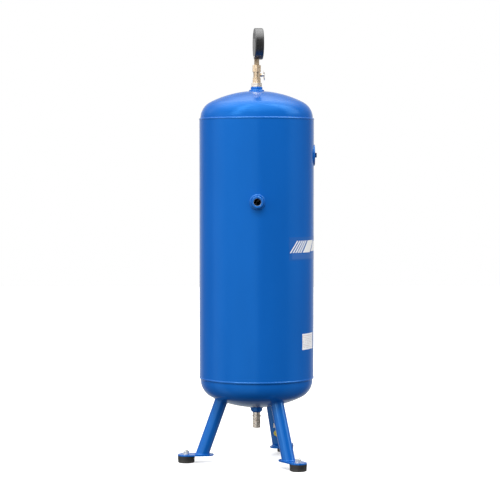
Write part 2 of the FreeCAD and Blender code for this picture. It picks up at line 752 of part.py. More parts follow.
def shell_film(start, end, low, high):
    """A film on the shell between two headings and two heights."""
    film = ring(SHELL_RADIUS + FILM, SHELL_RADIUS, low, high)
    wedge_points = [V(0, 0, low)]
    steps = max(2, int((end - start) / 20.0) + 1)
    for i in range(steps + 1):
        wedge_points.append(heading(start + (end - start) * i / steps) * SHELL_OD + UP * low)
    face = Part.Face(Part.makePolygon(wedge_points + wedge_points[:1]))
    return film.common(face.extrude(V(0, 0, high - low)))


def leg_sticker(height, cutter):
    """A film on the right leg's tube, on its side that faces -X."""
    film = leg_bar(LEG_TUBE_RADIUS + FILM, 0).cut(leg_bar(LEG_TUBE_RADIUS, 0))
    film = to_heading(film, LEGS["right"])
    radius = LEG_RADIUS_AT_PLATE - LEG_SLOPE * (height - PLATE_TOP)
    spot = heading(LEGS["right"]) * radius + UP * height
    return film.common(aimed(cutter, V(-1, 0, 0), spot)).Solids[0]


def make_films():
    save(
        "banner_label",
        shell_film(-BANNER_HALF_ANGLE, BANNER_HALF_ANGLE, BANNER_LOW, BANNER_HIGH),
    )
    save("data_label", shell_film(DATA_FROM, DATA_TO, DATA_LOW, DATA_HIGH))
    half = SQUARE_STICKER_SIDE / 2
    square = block(-half, half, -half, half, 0, LEG_TUBE_OD)
    save(
        "leg_stickers",
        leg_sticker(ROUND_STICKER_HEIGHT, rod(STICKER_RADIUS, 0, LEG_TUBE_OD)),
        leg_sticker(SQUARE_STICKER_HEIGHT, square),
    )


# ---- Gauge cock ----------------------------------------------------------------------------

# The cock and the gauge are built with the handle and the dial to the front, then turned.


def save_turned(name, *solids):
    save(name, *[turned(s, GAUGE_TURN) for s in solids])


def forward(shape, height):
    """Aims a shape built on the Z axis to the front, its height 0 on the tank's axis."""
    return aimed(shape, FRONT, UP * height)


def make_reducer():
    thread_low = TOP_BOSS_FACE - REDUCER_THREAD_LENGTH
    bush = rod(PORT_BORE_RADIUS - THREAD_FIT, thread_low, TOP_BOSS_FACE)
    bush = bush.fuse(hexagon(REDUCER_FLATS, TOP_BOSS_FACE, REDUCER_TOP, BORE_MOUTH))
    bore = rod(COCK_THREAD_RADIUS + THREAD_FIT, thread_low, REDUCER_TOP)
    save_turned("reducer_bush", bush.cut(bore).removeSplitter())


def make_cock_body():
    body = rod(COCK_THREAD_RADIUS, REDUCER_TOP - COCK_THREAD_LENGTH, REDUCER_TOP)
    body = body.fuse(hexagon(COCK_HEX_FLATS, REDUCER_TOP, COCK_HEX_TOP, BORE_MOUTH))
    body = body.fuse(rod(COCK_BARREL_RADIUS, COCK_HEX_TOP, COCK_BARREL_TOP))
    body = body.fuse(forward(rod(NECK_RADIUS, 0, NECK_END), BALL_CENTRE))
    body = body.cut(rod(BALL_CAVITY, BALL_CENTRE - SEAT_HALF_SPAN, COCK_BARREL_TOP))
    body = body.cut(rod(COCK_BORE_RADIUS, REDUCER_TOP - COCK_THREAD_LENGTH, BALL_CENTRE))
    collar_end = STEM_COLLAR_START + STEM_COLLAR_THICKNESS + RUNNING_FIT
    for radius, start, end in (
        (STEM_COLLAR_RADIUS + RUNNING_FIT, 0, collar_end),
        (STEM_RADIUS + RUNNING_FIT, 0, NECK_END),
        (STEM_SEAL_RADIUS, STEM_SEAL_START, NECK_END),
    ):
        body = body.cut(forward(rod(radius, start, end), BALL_CENTRE))
    save_turned("cock_body", body.removeSplitter())


def make_cock_end():
    spigot_low = BALL_CENTRE + SEAT_HALF_SPAN
    end = rod(BALL_CAVITY - THREAD_FIT, spigot_low, COCK_BARREL_TOP)
    end = end.fuse(hexagon(COCK_END_FLATS, COCK_BARREL_TOP, COCK_TOP, 2 * BORE_MOUTH))
    end = end.cut(rod(COCK_BORE_RADIUS, spigot_low, COCK_TOP))
    end = end.cut(rod(COCK_THREAD_RADIUS + THREAD_FIT, COCK_TOP - COCK_THREAD_LENGTH - 1, COCK_TOP))
    save_turned("cock_end", end.removeSplitter())


def ball_seats():
    """Two rings whose inner faces follow the ball with a running gap."""
    outer = BALL_CAVITY - THREAD_FIT
    ball_space = Part.makeSphere(BALL_RADIUS + RUNNING_FIT)
    ball_space.translate(V(0, 0, BALL_CENTRE))
    seats = []
    for low, high in (
        (BALL_CENTRE - SEAT_HALF_SPAN, BALL_CENTRE - SEAT_HALF_SPAN / 2),
        (BALL_CENTRE + SEAT_HALF_SPAN / 2, BALL_CENTRE + SEAT_HALF_SPAN),
    ):
        seats.append(ring(outer, SEAT_INNER_RADIUS, low, high).cut(ball_space))
    return seats


def make_stem_parts():
    seal_end = STEM_SEAL_START + STEM_SEAL_LENGTH
    bore = STEM_RADIUS + RUNNING_FIT
    seal = ring(STEM_SEAL_RADIUS, bore, STEM_SEAL_START, seal_end)
    save_turned("cock_seals", *ball_seats(), forward(seal, BALL_CENTRE))

    gland_end = NECK_END + GLAND_HEX_HEIGHT
    gland = rod(STEM_SEAL_RADIUS - THREAD_FIT, seal_end, NECK_END)
    gland = gland.fuse(hexagon(GLAND_FLATS, NECK_END, gland_end, BORE_MOUTH / 2))
    gland = gland.cut(rod(bore, seal_end, gland_end)).removeSplitter()
    save_turned("gland_nut", forward(gland, BALL_CENTRE))

    flow = rod(COCK_BORE_RADIUS, -2 * BALL_RADIUS, 2 * BALL_RADIUS)
    ball = Part.makeSphere(BALL_RADIUS).cut(aimed(flow, V(0, 1, 0)))
    slot_floor = BALL_RADIUS - TANG_DEPTH
    slot_x = TANG_WIDTH / 2 + RUNNING_FIT
    slot_y = TANG_THICKNESS / 2 + RUNNING_FIT
    ball = ball.cut(block(-slot_x, slot_x, -slot_y, slot_y, slot_floor, 2 * BALL_RADIUS))
    save_turned("cock_ball", forward(ball, BALL_CENTRE))

    collar_end = STEM_COLLAR_START + STEM_COLLAR_THICKNESS
    stem = rod(STEM_COLLAR_RADIUS, STEM_COLLAR_START, collar_end)
    stem = stem.fuse(rod(STEM_RADIUS, collar_end, HANDLE_WING_START))
    tang_x = TANG_WIDTH / 2
    tang_y = TANG_THICKNESS / 2
    tang_low = slot_floor + RUNNING_FIT
    stem = stem.fuse(block(-tang_x, tang_x, -tang_y, tang_y, tang_low, STEM_COLLAR_START))
    thread_low = HANDLE_WING_START + HANDLE_WING_THICKNESS - HANDLE_SCREW_LENGTH
    stem = stem.cut(rod(HANDLE_SCREW_RADIUS, thread_low, HANDLE_WING_START))
    save_turned("cock_stem", forward(stem.removeSplitter(), BALL_CENTRE))
    return gland_end, thread_low


def make_handle(gland_end, thread_low):
    """A cast butterfly: a hub on the stem and two wings that sweep away from the body."""
    hub = rod(HANDLE_HUB_RADIUS, gland_end + HANDLE_GAP, HANDLE_WING_START + 1)
    span = HANDLE_HALF_SPAN
    low = HANDLE_WING_START
    high = low + HANDLE_WING_THICKNESS
    lift = HANDLE_SWEEP
    under = Part.Arc(V(0, -span, low + lift), V(0, 0, low), V(0, span, low + lift)).toShape()
    over = Part.Arc(V(0, span, high + lift), V(0, 0, high), V(0, -span, high + lift)).toShape()
    sides = [line(V(0, span, low + lift), V(0, span, high + lift))]
    sides.append(line(V(0, -span, high + lift), V(0, -span, low + lift)))
    band = Part.Face(Part.Wire([under, sides[0], over, sides[1]]))
    half = HANDLE_TIP_WIDTH
    band = band.extrude(V(2 * half, 0, 0))
    band.translate(V(-half, 0, 0))
    waist = HANDLE_WAIST
    tip = HANDLE_TIP_WIDTH
    knee = span - tip
    shape = [(waist, 0), (tip, knee), (tip / 2, span), (-tip / 2, span), (-tip, knee)]
    shape += [(-waist, 0), (-tip, -knee), (-tip / 2, -span), (tip / 2, -span), (tip, -knee)]
    points = [V(x, y, 0) for x, y in shape]
    outline = Part.Face(Part.makePolygon(points + points[:1])).extrude(V(0, 0, 4 * span))
    handle = hub.fuse(band.common(outline)).removeSplitter()
    handle = handle.cut(rod(STEM_RADIUS, 0, HANDLE_WING_START))
    handle = handle.cut(rod(HANDLE_SCREW_RADIUS, 0, 4 * span))
    handle = handle.cut(rod(HANDLE_SCREW_HEAD_RADIUS, high, 4 * span))
    save_turned("cock_handle", forward(handle, BALL_CENTRE))

    screw = rod(HANDLE_SCREW_RADIUS, thread_low, high)
    head = rod(HANDLE_SCREW_HEAD_RADIUS, high, high + HANDLE_SCREW_HEAD)
    save_turned("handle_screw", forward(screw.fuse(head).removeSplitter(), BALL_CENTRE))


# ---- Pressure gauge ------------------------------------------------------------------------

# Gauge pieces are built in a face-on frame: X to the right, Y up the face, and the depth Z
# towards the viewer, 0 at the stem's axis. hang() puts them behind the dial's front.


def hang(shape):
    """Stands a face-on shape up at the gauge's centre, its depth axis to the front."""
    moved = shape.copy()
    moved.rotate(CENTRE, V(1, 0, 0), 90)
    moved.translate(V(0, 0, GAUGE_CENTRE))
    return moved


def pin(x, y, radius, back, front):
    return Part.makeCylinder(radius, front - back, V(x, y, back))


def socket_opening(gap):
    half = SOCKET_SQUARE / 2 + gap
    return block(-half, half, -2 * GAUGE_RADIUS, 0, -half, half)


def make_case():
    case = rod(GAUGE_RADIUS, -GAUGE_BACK, GAUGE_CASE_FRONT)
    back_edge = [e for e in case.Edges if e.BoundBox.ZMax < -GAUGE_BACK + GAUGE_WALL]
    case = case.makeFillet(2 * GAUGE_WALL, back_edge)
    case = case.cut(rod(GAUGE_BORE, -GAUGE_BACK + GAUGE_WALL, GAUGE_CASE_FRONT))
    case = case.cut(socket_opening(SOCKET_CASE_GAP))
    case = case.cut(pin(0, BLOWOUT_ABOVE_CENTRE, BLOWOUT_RADIUS, -GAUGE_BACK, 0))
    for x in screw_columns():
        case = case.cut(pin(x, SCREW_ROW, SOCKET_SCREW_RADIUS + RUNNING_FIT, -GAUGE_BACK, 0))
    save_turned("gauge_case", hang(case))

    plug_front = -GAUGE_BACK + GAUGE_WALL
    plug = pin(0, BLOWOUT_ABOVE_CENTRE, BLOWOUT_RADIUS, -GAUGE_BACK, plug_front)
    rim = BLOWOUT_RADIUS + 2 * BLOWOUT_PROUD
    cap = pin(0, BLOWOUT_ABOVE_CENTRE, rim, -GAUGE_BACK - BLOWOUT_PROUD, -GAUGE_BACK)
    save_turned("blowout_plug", hang(plug.fuse(cap).removeSplitter()))


def screw_columns():
    return (-SOCKET_SCREW_SPACING / 2, SOCKET_SCREW_SPACING / 2)


SCREW_ROW = -GAUGE_BORE + SOCKET_SCREW_ABOVE_RIM
INSIDE_TOP = -GAUGE_BORE + SOCKET_INSIDE_HEIGHT


def make_bezel_and_lens():
    front = GAUGE_CASE_FRONT + BEZEL_DEPTH
    bezel = spun(
        [
            (GAUGE_BORE, GAUGE_CASE_FRONT),
            (GAUGE_RADIUS, GAUGE_CASE_FRONT),
            (GAUGE_RADIUS, front - BEZEL_CHAMFER),
            (GAUGE_RADIUS - BEZEL_CHAMFER, front),
            (BEZEL_OPENING_RADIUS, front),
            (BEZEL_OPENING_RADIUS, front - BEZEL_LIP),
            (GAUGE_BORE, front - BEZEL_LIP),
        ]
    )
    save_turned("bezel_ring", hang(bezel))
    lens_front = front - BEZEL_LIP
    lens = rod(GAUGE_BORE - LENS_GAP, lens_front - LENS_THICKNESS, lens_front)
    save_turned("gauge_lens", hang(lens))


def bourdon_section(shrink):
    """The flattened tube's section, straight sides and round ends, at radius BOURDON_RADIUS."""
    thick = BOURDON_THICKNESS / 2 - shrink
    tall = BOURDON_DEPTH / 2 - shrink - thick
    x = BOURDON_RADIUS
    edges = [
        line(V(x + thick, 0, -tall), V(x + thick, 0, tall)),
        Part.Arc(V(x + thick, 0, tall), V(x, 0, tall + thick), V(x - thick, 0, tall)).toShape(),
        line(V(x - thick, 0, tall), V(x - thick, 0, -tall)),
        Part.Arc(V(x - thick, 0, -tall), V(x, 0, -tall - thick), V(x + thick, 0, -tall)).toShape(),
    ]
    return Part.Face(Part.Wire(edges))


def bourdon_bar(start, sweep, shrink=0.0):
    """A length of the tube's bar, from an angle on the face and clockwise round it."""
    bar = bourdon_section(shrink).revolve(CENTRE, UP, sweep)
    return turned(bar, start - sweep)


def make_socket():
    half = SOCKET_SQUARE / 2
    low = -GAUGE_RADIUS - SOCKET_STEM_HEIGHT
    stem = block(-half, half, low, -GAUGE_BORE, -half, half)
    inside = block(-half, half, -GAUGE_BORE, INSIDE_TOP, -SOCKET_INSIDE_BACK, half - 1)
    thread = Part.makeCylinder(
        COCK_THREAD_RADIUS, SOCKET_THREAD_LENGTH, V(0, low - SOCKET_THREAD_LENGTH, 0), V(0, 1, 0)
    )
    socket = stem.fuse(inside).fuse(thread)
    passage = Part.makeCylinder(
        BOURDON_THICKNESS / 2, SOCKET_STEM_HEIGHT * 2, V(0, low - SOCKET_THREAD_LENGTH, 0), V(0, 1, 0)
    )
    socket = socket.cut(passage).removeSplitter()
    socket = socket.cut(bourdon_bar(BOURDON_START + TIP_SWEEP, BOURDON_SWEEP))
    for x in screw_columns():
        socket = socket.cut(pin(x, SCREW_ROW, SOCKET_SCREW_RADIUS, -GAUGE_BACK, 0))
    save_turned("gauge_socket", hang(socket))

    screws = []
    for x in screw_columns():
        tip = -GAUGE_BACK + SOCKET_SCREW_LENGTH
        screw = pin(x, SCREW_ROW, SOCKET_SCREW_RADIUS, -GAUGE_BACK, tip)
        outside = -GAUGE_BACK - SOCKET_SCREW_HEAD
        head = pin(x, SCREW_ROW, SOCKET_SCREW_HEAD_RADIUS, outside, -GAUGE_BACK)
        screws.append(hang(screw.fuse(head).removeSplitter()))
    save_turned("socket_screws", *screws)


def make_bourdon():
    tube = bourdon_bar(BOURDON_START + TIP_SWEEP, BOURDON_SWEEP + TIP_SWEEP)
    tube = tube.cut(
        bourdon_bar(BOURDON_START + TIP_SWEEP, BOURDON_SWEEP + TIP_SWEEP, BOURDON_WALL)
    )
    save_turned("bourdon_tube", hang(tube))

    end = BOURDON_START - BOURDON_SWEEP
    block_tip = bourdon_bar(end, TIP_SWEEP)
    middle = math.radians(end - TIP_SWEEP / 2)
    root = V(BOURDON_RADIUS * math.cos(middle), BOURDON_RADIUS * math.sin(middle), 0)
    lug = bar_between((root.x, root.y), TIP_POINT, LINK_WIDTH, -SECTOR_BACK, -SECTOR_FRONT)
    save_turned("tube_tip", hang(block_tip.fuse(lug).removeSplitter()))


SECTOR_BACK = SECTOR_FRONT + SECTOR_THICKNESS


def bar_between(a, b, width, back, front):
    """A flat bar with round ends between two points of the face."""
    length = math.hypot(b[0] - a[0], b[1] - a[1])
    angle = math.degrees(math.atan2(b[1] - a[1], b[0] - a[0]))
    bar = block(0, length, -width / 2, width / 2, back, front)
    bar.rotate(CENTRE, UP, angle)
    bar.translate(V(a[0], a[1], 0))
    ends = [pin(p[0], p[1], width / 2, back, front) for p in (a, b)]
    return bar.fuse(ends).removeSplitter()


def gear_points(teeth, first, last, backlash):
    """Outline points of involute teeth, one tooth centred on angle 0 from the X axis."""
    pitch = GEAR_MODULE * teeth / 2
    base = pitch * math.cos(math.radians(20))
    tip = pitch + 0.9 * GEAR_MODULE
    foot = pitch - 1.2 * GEAR_MODULE
    start = max(base, foot)

    def involute(radius):
        a = math.acos(base / radius)
        return math.tan(a) - a

    half = math.pi / 2 / teeth - backlash / 2 / pitch + involute(pitch)
    flank = [start + (tip - start) * i / 3 for i in range(4)]
    points = []
    for n in range(first, last + 1):
        middle = 2 * math.pi * n / teeth
        rising = [(r, middle - half + involute(r)) for r in flank]
        falling = [(r, middle + half - involute(r)) for r in reversed(flank)]
        points.append((foot, rising[0][1]))
        points += rising + falling
        points.append((foot, falling[-1][1]))
    return points


def polar_face(points, extra=()):
    corners = [V(r * math.cos(a), r * math.sin(a), 0) for r, a in points] + list(extra)
    return Part.Face(Part.makePolygon(corners + corners[:1]))


def make_movement():
    back_face = -PLATES_BACK
    front_face = -PLATES_FRONT
    width = MOVEMENT_HALF_WIDTH
    back = block(-width, width, MOVEMENT_BACK_BOTTOM, MOVEMENT_TOP, back_face - PLATE_SHEET, back_face)
    front = block(
        -width, width, MOVEMENT_FRONT_BOTTOM, MOVEMENT_TOP, front_face, front_face + PLATE_SHEET
    )
    for x in screw_columns():
        clearance = SOCKET_SCREW_RADIUS + RUNNING_FIT
        back = back.cut(pin(x, SCREW_ROW, clearance, -GAUGE_BACK, back_face))
    frame = back.fuse(front)
    for x, y in MOVEMENT_POSTS:
        frame = frame.fuse(pin(x, y, MOVEMENT_POST_RADIUS, back_face, front_face))
    for x, y in MOVEMENT_POSTS[1:]:
        frame = frame.fuse(pin(x, y, MOVEMENT_POST_RADIUS, front_face + PLATE_SHEET, DIAL_PLANE))
        frame = frame.cut(pin(x, y, DIAL_SCREW_RADIUS, front_face, DIAL_PLANE))
    stud_x, stud_y = HAIRSPRING_STUD
    frame = frame.fuse(
        pin(stud_x, stud_y, LINK_PIN_RADIUS, HAIRSPRING_PLANE - HAIRSPRING_WIDTH, front_face)
    )
    for y in (0, SECTOR_PIVOT):
        frame = frame.cut(pin(0, y, ARBOR_RADIUS + RUNNING_FIT, -GAUGE_BACK, GAUGE_BACK))
    save_turned("movement_plates", hang(frame.removeSplitter()))


def make_gears():
    pinion_back = -SECTOR_BACK - PINION_OVERHANG
    pinion_front = -SECTOR_FRONT + PINION_OVERHANG
    wheel = polar_face(gear_points(PINION_TEETH, 0, PINION_TEETH - 1, GEAR_BACKLASH))
    wheel = wheel.extrude(V(0, 0, pinion_front - pinion_back))
    wheel.translate(V(0, 0, pinion_back))
    # A gap of the pinion faces straight down, where a tooth of the sector stands at rest.
    wheel.rotate(CENTRE, UP, -90 + 180 / PINION_TEETH)
    shaft_back = -PLATES_BACK - PLATE_SHEET
    shaft_front = POINTER_PLANE + POINTER_HUB_DEPTH
    shaft = wheel.fuse(pin(0, 0, ARBOR_RADIUS, shaft_back, shaft_front)).removeSplitter()
    save_turned("pinion_shaft", hang(shaft))

    tooth = 360 / SECTOR_TEETH
    first = -int(round(SECTOR_MARGIN / tooth))
    last = int(round((SECTOR_TRAVEL + SECTOR_MARGIN) / tooth))
    rim_points = gear_points(SECTOR_TEETH, first, last, GEAR_BACKLASH)
    fan = polar_face(rim_points, (CENTRE,))
    fan = fan.extrude(V(0, 0, SECTOR_THICKNESS))
    fan.translate(V(0, 0, -SECTOR_BACK))
    fan.rotate(CENTRE, UP, 90)
    fan = fan.mirror(CENTRE, V(1, 0, 0))
    fan.translate(V(0, SECTOR_PIVOT, 0))
    arm = bar_between((0, SECTOR_PIVOT), TAIL_POINT, 2 * LINK_EYE_RADIUS, -SECTOR_BACK, -SECTOR_FRONT)
    arbor = pin(0, SECTOR_PIVOT, ARBOR_RADIUS, shaft_back, -PLATES_FRONT + PLATE_SHEET)
    pin_front = -SECTOR_FRONT + LINK_GAP + LINK_THICKNESS
    link_pin = pin(*TAIL_POINT, LINK_PIN_RADIUS, -SECTOR_BACK, pin_front)
    sector = fan.fuse([arm, arbor, link_pin]).removeSplitter()
    save_turned("sector_gear", hang(sector))

    link_back = -SECTOR_FRONT + LINK_GAP
    link_front = link_back + LINK_THICKNESS
    link = bar_between(TAIL_POINT, TIP_POINT, LINK_WIDTH, link_back, link_front)
    eyes = [pin(*p, LINK_EYE_RADIUS, link_back, link_front) for p in (TAIL_POINT, TIP_POINT)]
    link = link.fuse(eyes)
    for p in (TAIL_POINT, TIP_POINT):
        link = link.cut(pin(*p, LINK_PIN_RADIUS + RUNNING_FIT, link_back, link_front))
    save_turned("tip_link", hang(link.removeSplitter()))


def make_hairspring():
    """A flat spiral strip, wider apart than it is thick."""
    count = 24 * HAIRSPRING_TURNS
    growth = (HAIRSPRING_OUTER - HAIRSPRING_INNER) / count
    inner, outer = [], []
    for i in range(count + 1):
        # The last point lies at the stud, straight to the left.
        angle = math.pi + 2 * math.pi * (i - count) / 24
        radius = HAIRSPRING_INNER + growth * i
        inner.append((radius, angle))
        outer.append((radius + HAIRSPRING_SHEET, angle))
    strip = polar_face(inner + outer[::-1]).extrude(V(0, 0, HAIRSPRING_WIDTH))
    strip.translate(V(0, 0, HAIRSPRING_PLANE - HAIRSPRING_WIDTH))
    save_turned("hairspring", hang(strip))


def make_dial_and_pointer():
    dial_front = DIAL_PLANE + DIAL_THICKNESS
    dial = rod(DIAL_RADIUS, DIAL_PLANE, dial_front).cut(rod(DIAL_HOLE_RADIUS, 0, dial_front))
    screws = []
    for x, y in MOVEMENT_POSTS[1:]:
        dial = dial.cut(pin(x, y, DIAL_SCREW_RADIUS + RUNNING_FIT, 0, dial_front))
        shank = pin(x, y, DIAL_SCREW_RADIUS, -PLATES_FRONT + PLATE_SHEET, dial_front)
        head = pin(x, y, DIAL_SCREW_HEAD_RADIUS, dial_front, dial_front + DIAL_SCREW_HEAD)
        screws.append(hang(shank.fuse(head).removeSplitter()))
    save_turned("gauge_dial", hang(dial))
    save_turned("dial_screws", *screws)

    high = POINTER_PLANE + POINTER_THICKNESS
    right_edge = [
        (POINTER_TAIL_WIDTH / 2, -POINTER_TAIL),
        (POINTER_MIDDLE_WIDTH / 2, 0),
        (POINTER_TIP_WIDTH / 2, POINTER_LENGTH),
    ]
    left_edge = [(-x, y) for x, y in reversed(right_edge)]
    points = [V(x, y, POINTER_PLANE) for x, y in right_edge + left_edge]
    blade = Part.Face(Part.makePolygon(points + points[:1])).extrude(V(0, 0, high - POINTER_PLANE))
    blade = blade.fuse(rod(POINTER_HUB_RADIUS, POINTER_PLANE, high + POINTER_HUB_DEPTH))
    blade = blade.cut(rod(ARBOR_RADIUS, POINTER_PLANE, POINTER_PLANE + POINTER_HUB_DEPTH))
    blade = blade.removeSplitter()
    # The scale starts half its sweep to the left of the top.
    blade.rotate(CENTRE, UP, POINTER_SWEEP / 2)
    save_turned("pointer", hang(blade))


# ---- Drain valve ---------------------------------------------------------------------------


def make_drain_body():
    body = rod(PORT_BORE_RADIUS - THREAD_FIT, BOTTOM_BOSS_FACE, BOTTOM_BOSS_FACE + DRAIN_THREAD_LENGTH)
    body = body.fuse(rod(DRAIN_COLLAR_RADIUS, DRAIN_COLLAR_BOTTOM, BOTTOM_BOSS_FACE))
    body = body.fuse(rod(DRAIN_NECK_RADIUS, DRAIN_HEX_TOP, DRAIN_COLLAR_BOTTOM))
    body = body.fuse(hexagon(DRAIN_FLATS, DRAIN_HEX_BOTTOM, DRAIN_HEX_TOP, BORE_MOUTH))
    ring_top = DRAIN_HEX_TOP - DRAIN_RING_BELOW_NECK
    body = body.fuse(rod(DRAIN_RING_RADIUS, ring_top - DRAIN_RING_HEIGHT, ring_top))
    body = body.cut(rod(DRAIN_SEAT_RADIUS, DRAIN_SEAT, BOTTOM_BOSS_FACE + DRAIN_THREAD_LENGTH))
    body = body.cut(rod(DRAIN_CHAMBER_RADIUS, DRAIN_HEX_BOTTOM, DRAIN_SEAT))
    save("drain_body", body.removeSplitter())


def make_poppet():
    seal_top = DRAIN_SEAT - DRAIN_SEAT_GAP
    seal_low = seal_top - DRAIN_SEAL_THICKNESS
    save("drain_seal", rod(DRAIN_SEAL_RADIUS, seal_low, seal_top))
    head_low = SPIGOT_TOP + DRAIN_LIFT_GAP
    stem_low = head_low - DRAIN_POPPET_STEM
    stem = rod(DRAIN_BORE_RADIUS - RUNNING_FIT, stem_low, head_low)
    for a in range(0, 360, 120):
        flat = block(DRAIN_STEM_FLAT, DRAIN_POPPET_RADIUS, -DRAIN_POPPET_RADIUS,
                     DRAIN_POPPET_RADIUS, stem_low, head_low)
        stem = stem.cut(turned(flat, a))
    head = rod(DRAIN_POPPET_RADIUS, head_low, seal_low)
    save("drain_poppet", stem.fuse(head).removeSplitter())


def make_knob():
    knob = hexagon(DRAIN_FLATS, KNOB_BOTTOM, KNOB_TOP, BORE_MOUTH)
    corner = DRAIN_FLATS / 2 + DRAIN_ROUND
    knob = knob.cut(
        spun(
            [
                (corner, KNOB_BOTTOM - 1),
                (corner, KNOB_BOTTOM + 2 * DRAIN_ROUND),
                (DRAIN_FLATS / 2 - DRAIN_ROUND, KNOB_BOTTOM - 1),
            ]
        )
    )
    middle = (KNOB_BOTTOM + KNOB_TOP) / 2
    groove = ring(
        DRAIN_FLATS,
        DRAIN_FLATS / 2 - DRAIN_GROOVE_DEPTH,
        middle - DRAIN_GROOVE_WIDTH / 2,
        middle + DRAIN_GROOVE_WIDTH / 2,
    )
    knob = knob.cut(groove)
    spigot_radius = DRAIN_CHAMBER_RADIUS - RUNNING_FIT
    knob = knob.fuse(rod(spigot_radius, KNOB_TOP, SPIGOT_TOP))
    knob = knob.cut(rod(DRAIN_BORE_RADIUS, KNOB_BOTTOM, SPIGOT_TOP))
    knob = knob.cut(rod(DRAIN_OUTLET_RADIUS, KNOB_BOTTOM, KNOB_BOTTOM + DRAIN_OUTLET_DEPTH))
    oring_low = KNOB_TOP + DRAIN_ORING_ABOVE_HEX
    oring = ring(
        spigot_radius,
        spigot_radius - DRAIN_ORING_SECTION,
        oring_low,
        oring_low + DRAIN_ORING_SECTION,
    )
    save("drain_knob", knob.cut(oring).removeSplitter())
    save("drain_oring", oring)


# ---- Build ---------------------------------------------------------------------------------

make_vessel()
make_boss_welds()
make_inspection_port()
make_legs()
make_films()
make_reducer()
make_cock_body()
make_cock_end()
make_handle(*make_stem_parts())
make_case()
make_bezel_and_lens()
make_socket()
make_bourdon()
make_movement()
make_gears()
make_hairspring()
make_dial_and_pointer()
make_drain_body()
make_poppet()
make_knob()
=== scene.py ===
# %% [markdown]
# # An upright air receiver, piece by piece
# The imported model is the fixed frame: vessel, legs, cock, gauge and drain valve are already in
# place, in metres. This lesson gives each of them its finish, and adds what a plain solid lacks:
# rippled welds, screw threads, dial print and the labels' print.

# %% Load the frame
import json
import math

import bmesh
import bpy
from mathutils import Matrix, Vector


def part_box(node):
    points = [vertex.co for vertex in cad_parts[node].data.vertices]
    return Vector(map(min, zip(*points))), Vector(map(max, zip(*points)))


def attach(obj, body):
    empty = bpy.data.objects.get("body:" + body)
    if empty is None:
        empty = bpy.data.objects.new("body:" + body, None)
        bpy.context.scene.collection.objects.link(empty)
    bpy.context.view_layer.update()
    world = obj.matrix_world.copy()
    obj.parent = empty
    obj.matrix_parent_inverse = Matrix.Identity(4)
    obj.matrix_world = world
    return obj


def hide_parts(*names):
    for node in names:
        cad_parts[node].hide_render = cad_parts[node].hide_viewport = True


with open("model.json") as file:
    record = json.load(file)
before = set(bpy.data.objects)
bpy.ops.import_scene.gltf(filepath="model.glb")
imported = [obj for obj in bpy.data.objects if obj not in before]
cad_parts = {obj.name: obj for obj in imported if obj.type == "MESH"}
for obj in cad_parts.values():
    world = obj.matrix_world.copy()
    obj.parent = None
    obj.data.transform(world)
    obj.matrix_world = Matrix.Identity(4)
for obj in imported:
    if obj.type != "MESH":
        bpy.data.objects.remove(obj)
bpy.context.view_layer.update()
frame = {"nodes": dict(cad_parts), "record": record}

scene = bpy.context.scene
MM = 0.001
slot_of = {part["node"]: part["material_slot"] for part in frame["record"]["subparts"]}
print("CAD nodes:", len(frame["nodes"]), "slots:", len(set(slot_of.values())))

# %% [markdown]
# ## The view
# The receiver was seen from its left side at about chest height, from well back through a long
# lens. A long lens keeps the tank's sides upright, so the camera stands 5.7 m away and looks
# down only a little. It turns slightly to one side, which puts the tank just right of centre.

# %% Camera
CAMERA_AZIMUTH = math.radians(-90.7)
CAMERA_DISTANCE = 5.7
CAMERA_HEIGHT = 0.929
CAMERA_PITCH = math.radians(2.41)
CAMERA_YAW = math.radians(0.215)
LENS, SENSOR_WIDTH = 126.7, 36.0
FAR_CLIP = 60.0

camera_data = bpy.data.cameras.new("side camera")
camera_data.lens = LENS
camera_data.sensor_width = SENSOR_WIDTH
camera_data.clip_end = FAR_CLIP
camera = bpy.data.objects.new("side camera", camera_data)
scene.collection.objects.link(camera)
stand = Vector((math.sin(CAMERA_AZIMUTH), -math.cos(CAMERA_AZIMUTH), 0)) * CAMERA_DISTANCE
aim = -stand.normalized()
aim.rotate(Matrix.Rotation(CAMERA_YAW, 3, "Z"))
aim = aim * math.cos(CAMERA_PITCH) - Vector((0, 0, math.sin(CAMERA_PITCH)))
camera.location = stand + Vector((0, 0, CAMERA_HEIGHT))
camera.rotation_euler = aim.to_track_quat("-Z", "Y").to_euler()
scene.camera = camera
scene.view_settings.view_transform = "Standard"
print("camera at", [round(v, 3) for v in camera.location])

# %% [markdown]
# ## A short way to write nodes
# Node trees are sums as well as pictures. `Wire` holds one socket and turns `a * 2 + b` into
# Math nodes, and `Board` adds any other node: its kind, its settings first, then its sockets.
# One pair of classes serves materials and Geometry Nodes alike.

# %% Wires and boards
class Wire:
    """One output socket. Plain arithmetic on it adds Math nodes."""

    def __init__(self, board, socket):
        self.board, self.socket = board, socket

    def of(self, output):
        return Wire(self.board, self.socket.node.outputs[output])

    def math(self, operation, *values):
        return self.board.node("ShaderNodeMath", {"operation": operation}, dict(enumerate(values)))

    def __add__(self, other):
        return self.math("ADD", self, other)

    def __radd__(self, other):
        return self.math("ADD", other, self)

    def __sub__(self, other):
        return self.math("SUBTRACT", self, other)

    def __rsub__(self, other):
        return self.math("SUBTRACT", other, self)

    def __mul__(self, other):
        return self.math("MULTIPLY", self, other)

    def __rmul__(self, other):
        return self.math("MULTIPLY", other, self)

    def __truediv__(self, other):
        return self.math("DIVIDE", self, other)

    def __rtruediv__(self, other):
        return self.math("DIVIDE", other, self)

    def __gt__(self, other):
        return self.math("GREATER_THAN", self, other)

    def __lt__(self, other):
        return self.math("LESS_THAN", self, other)

    def sine(self):
        return self.math("SINE", self)

    def size(self):
        return self.math("ABSOLUTE", self)

    def wrap(self, span):
        return self.math("WRAP", self, span, 0.0)

    def floor(self):
        return self.math("FLOOR", self)

    def between(self, low, high):
        return (self > low) * (self < high)


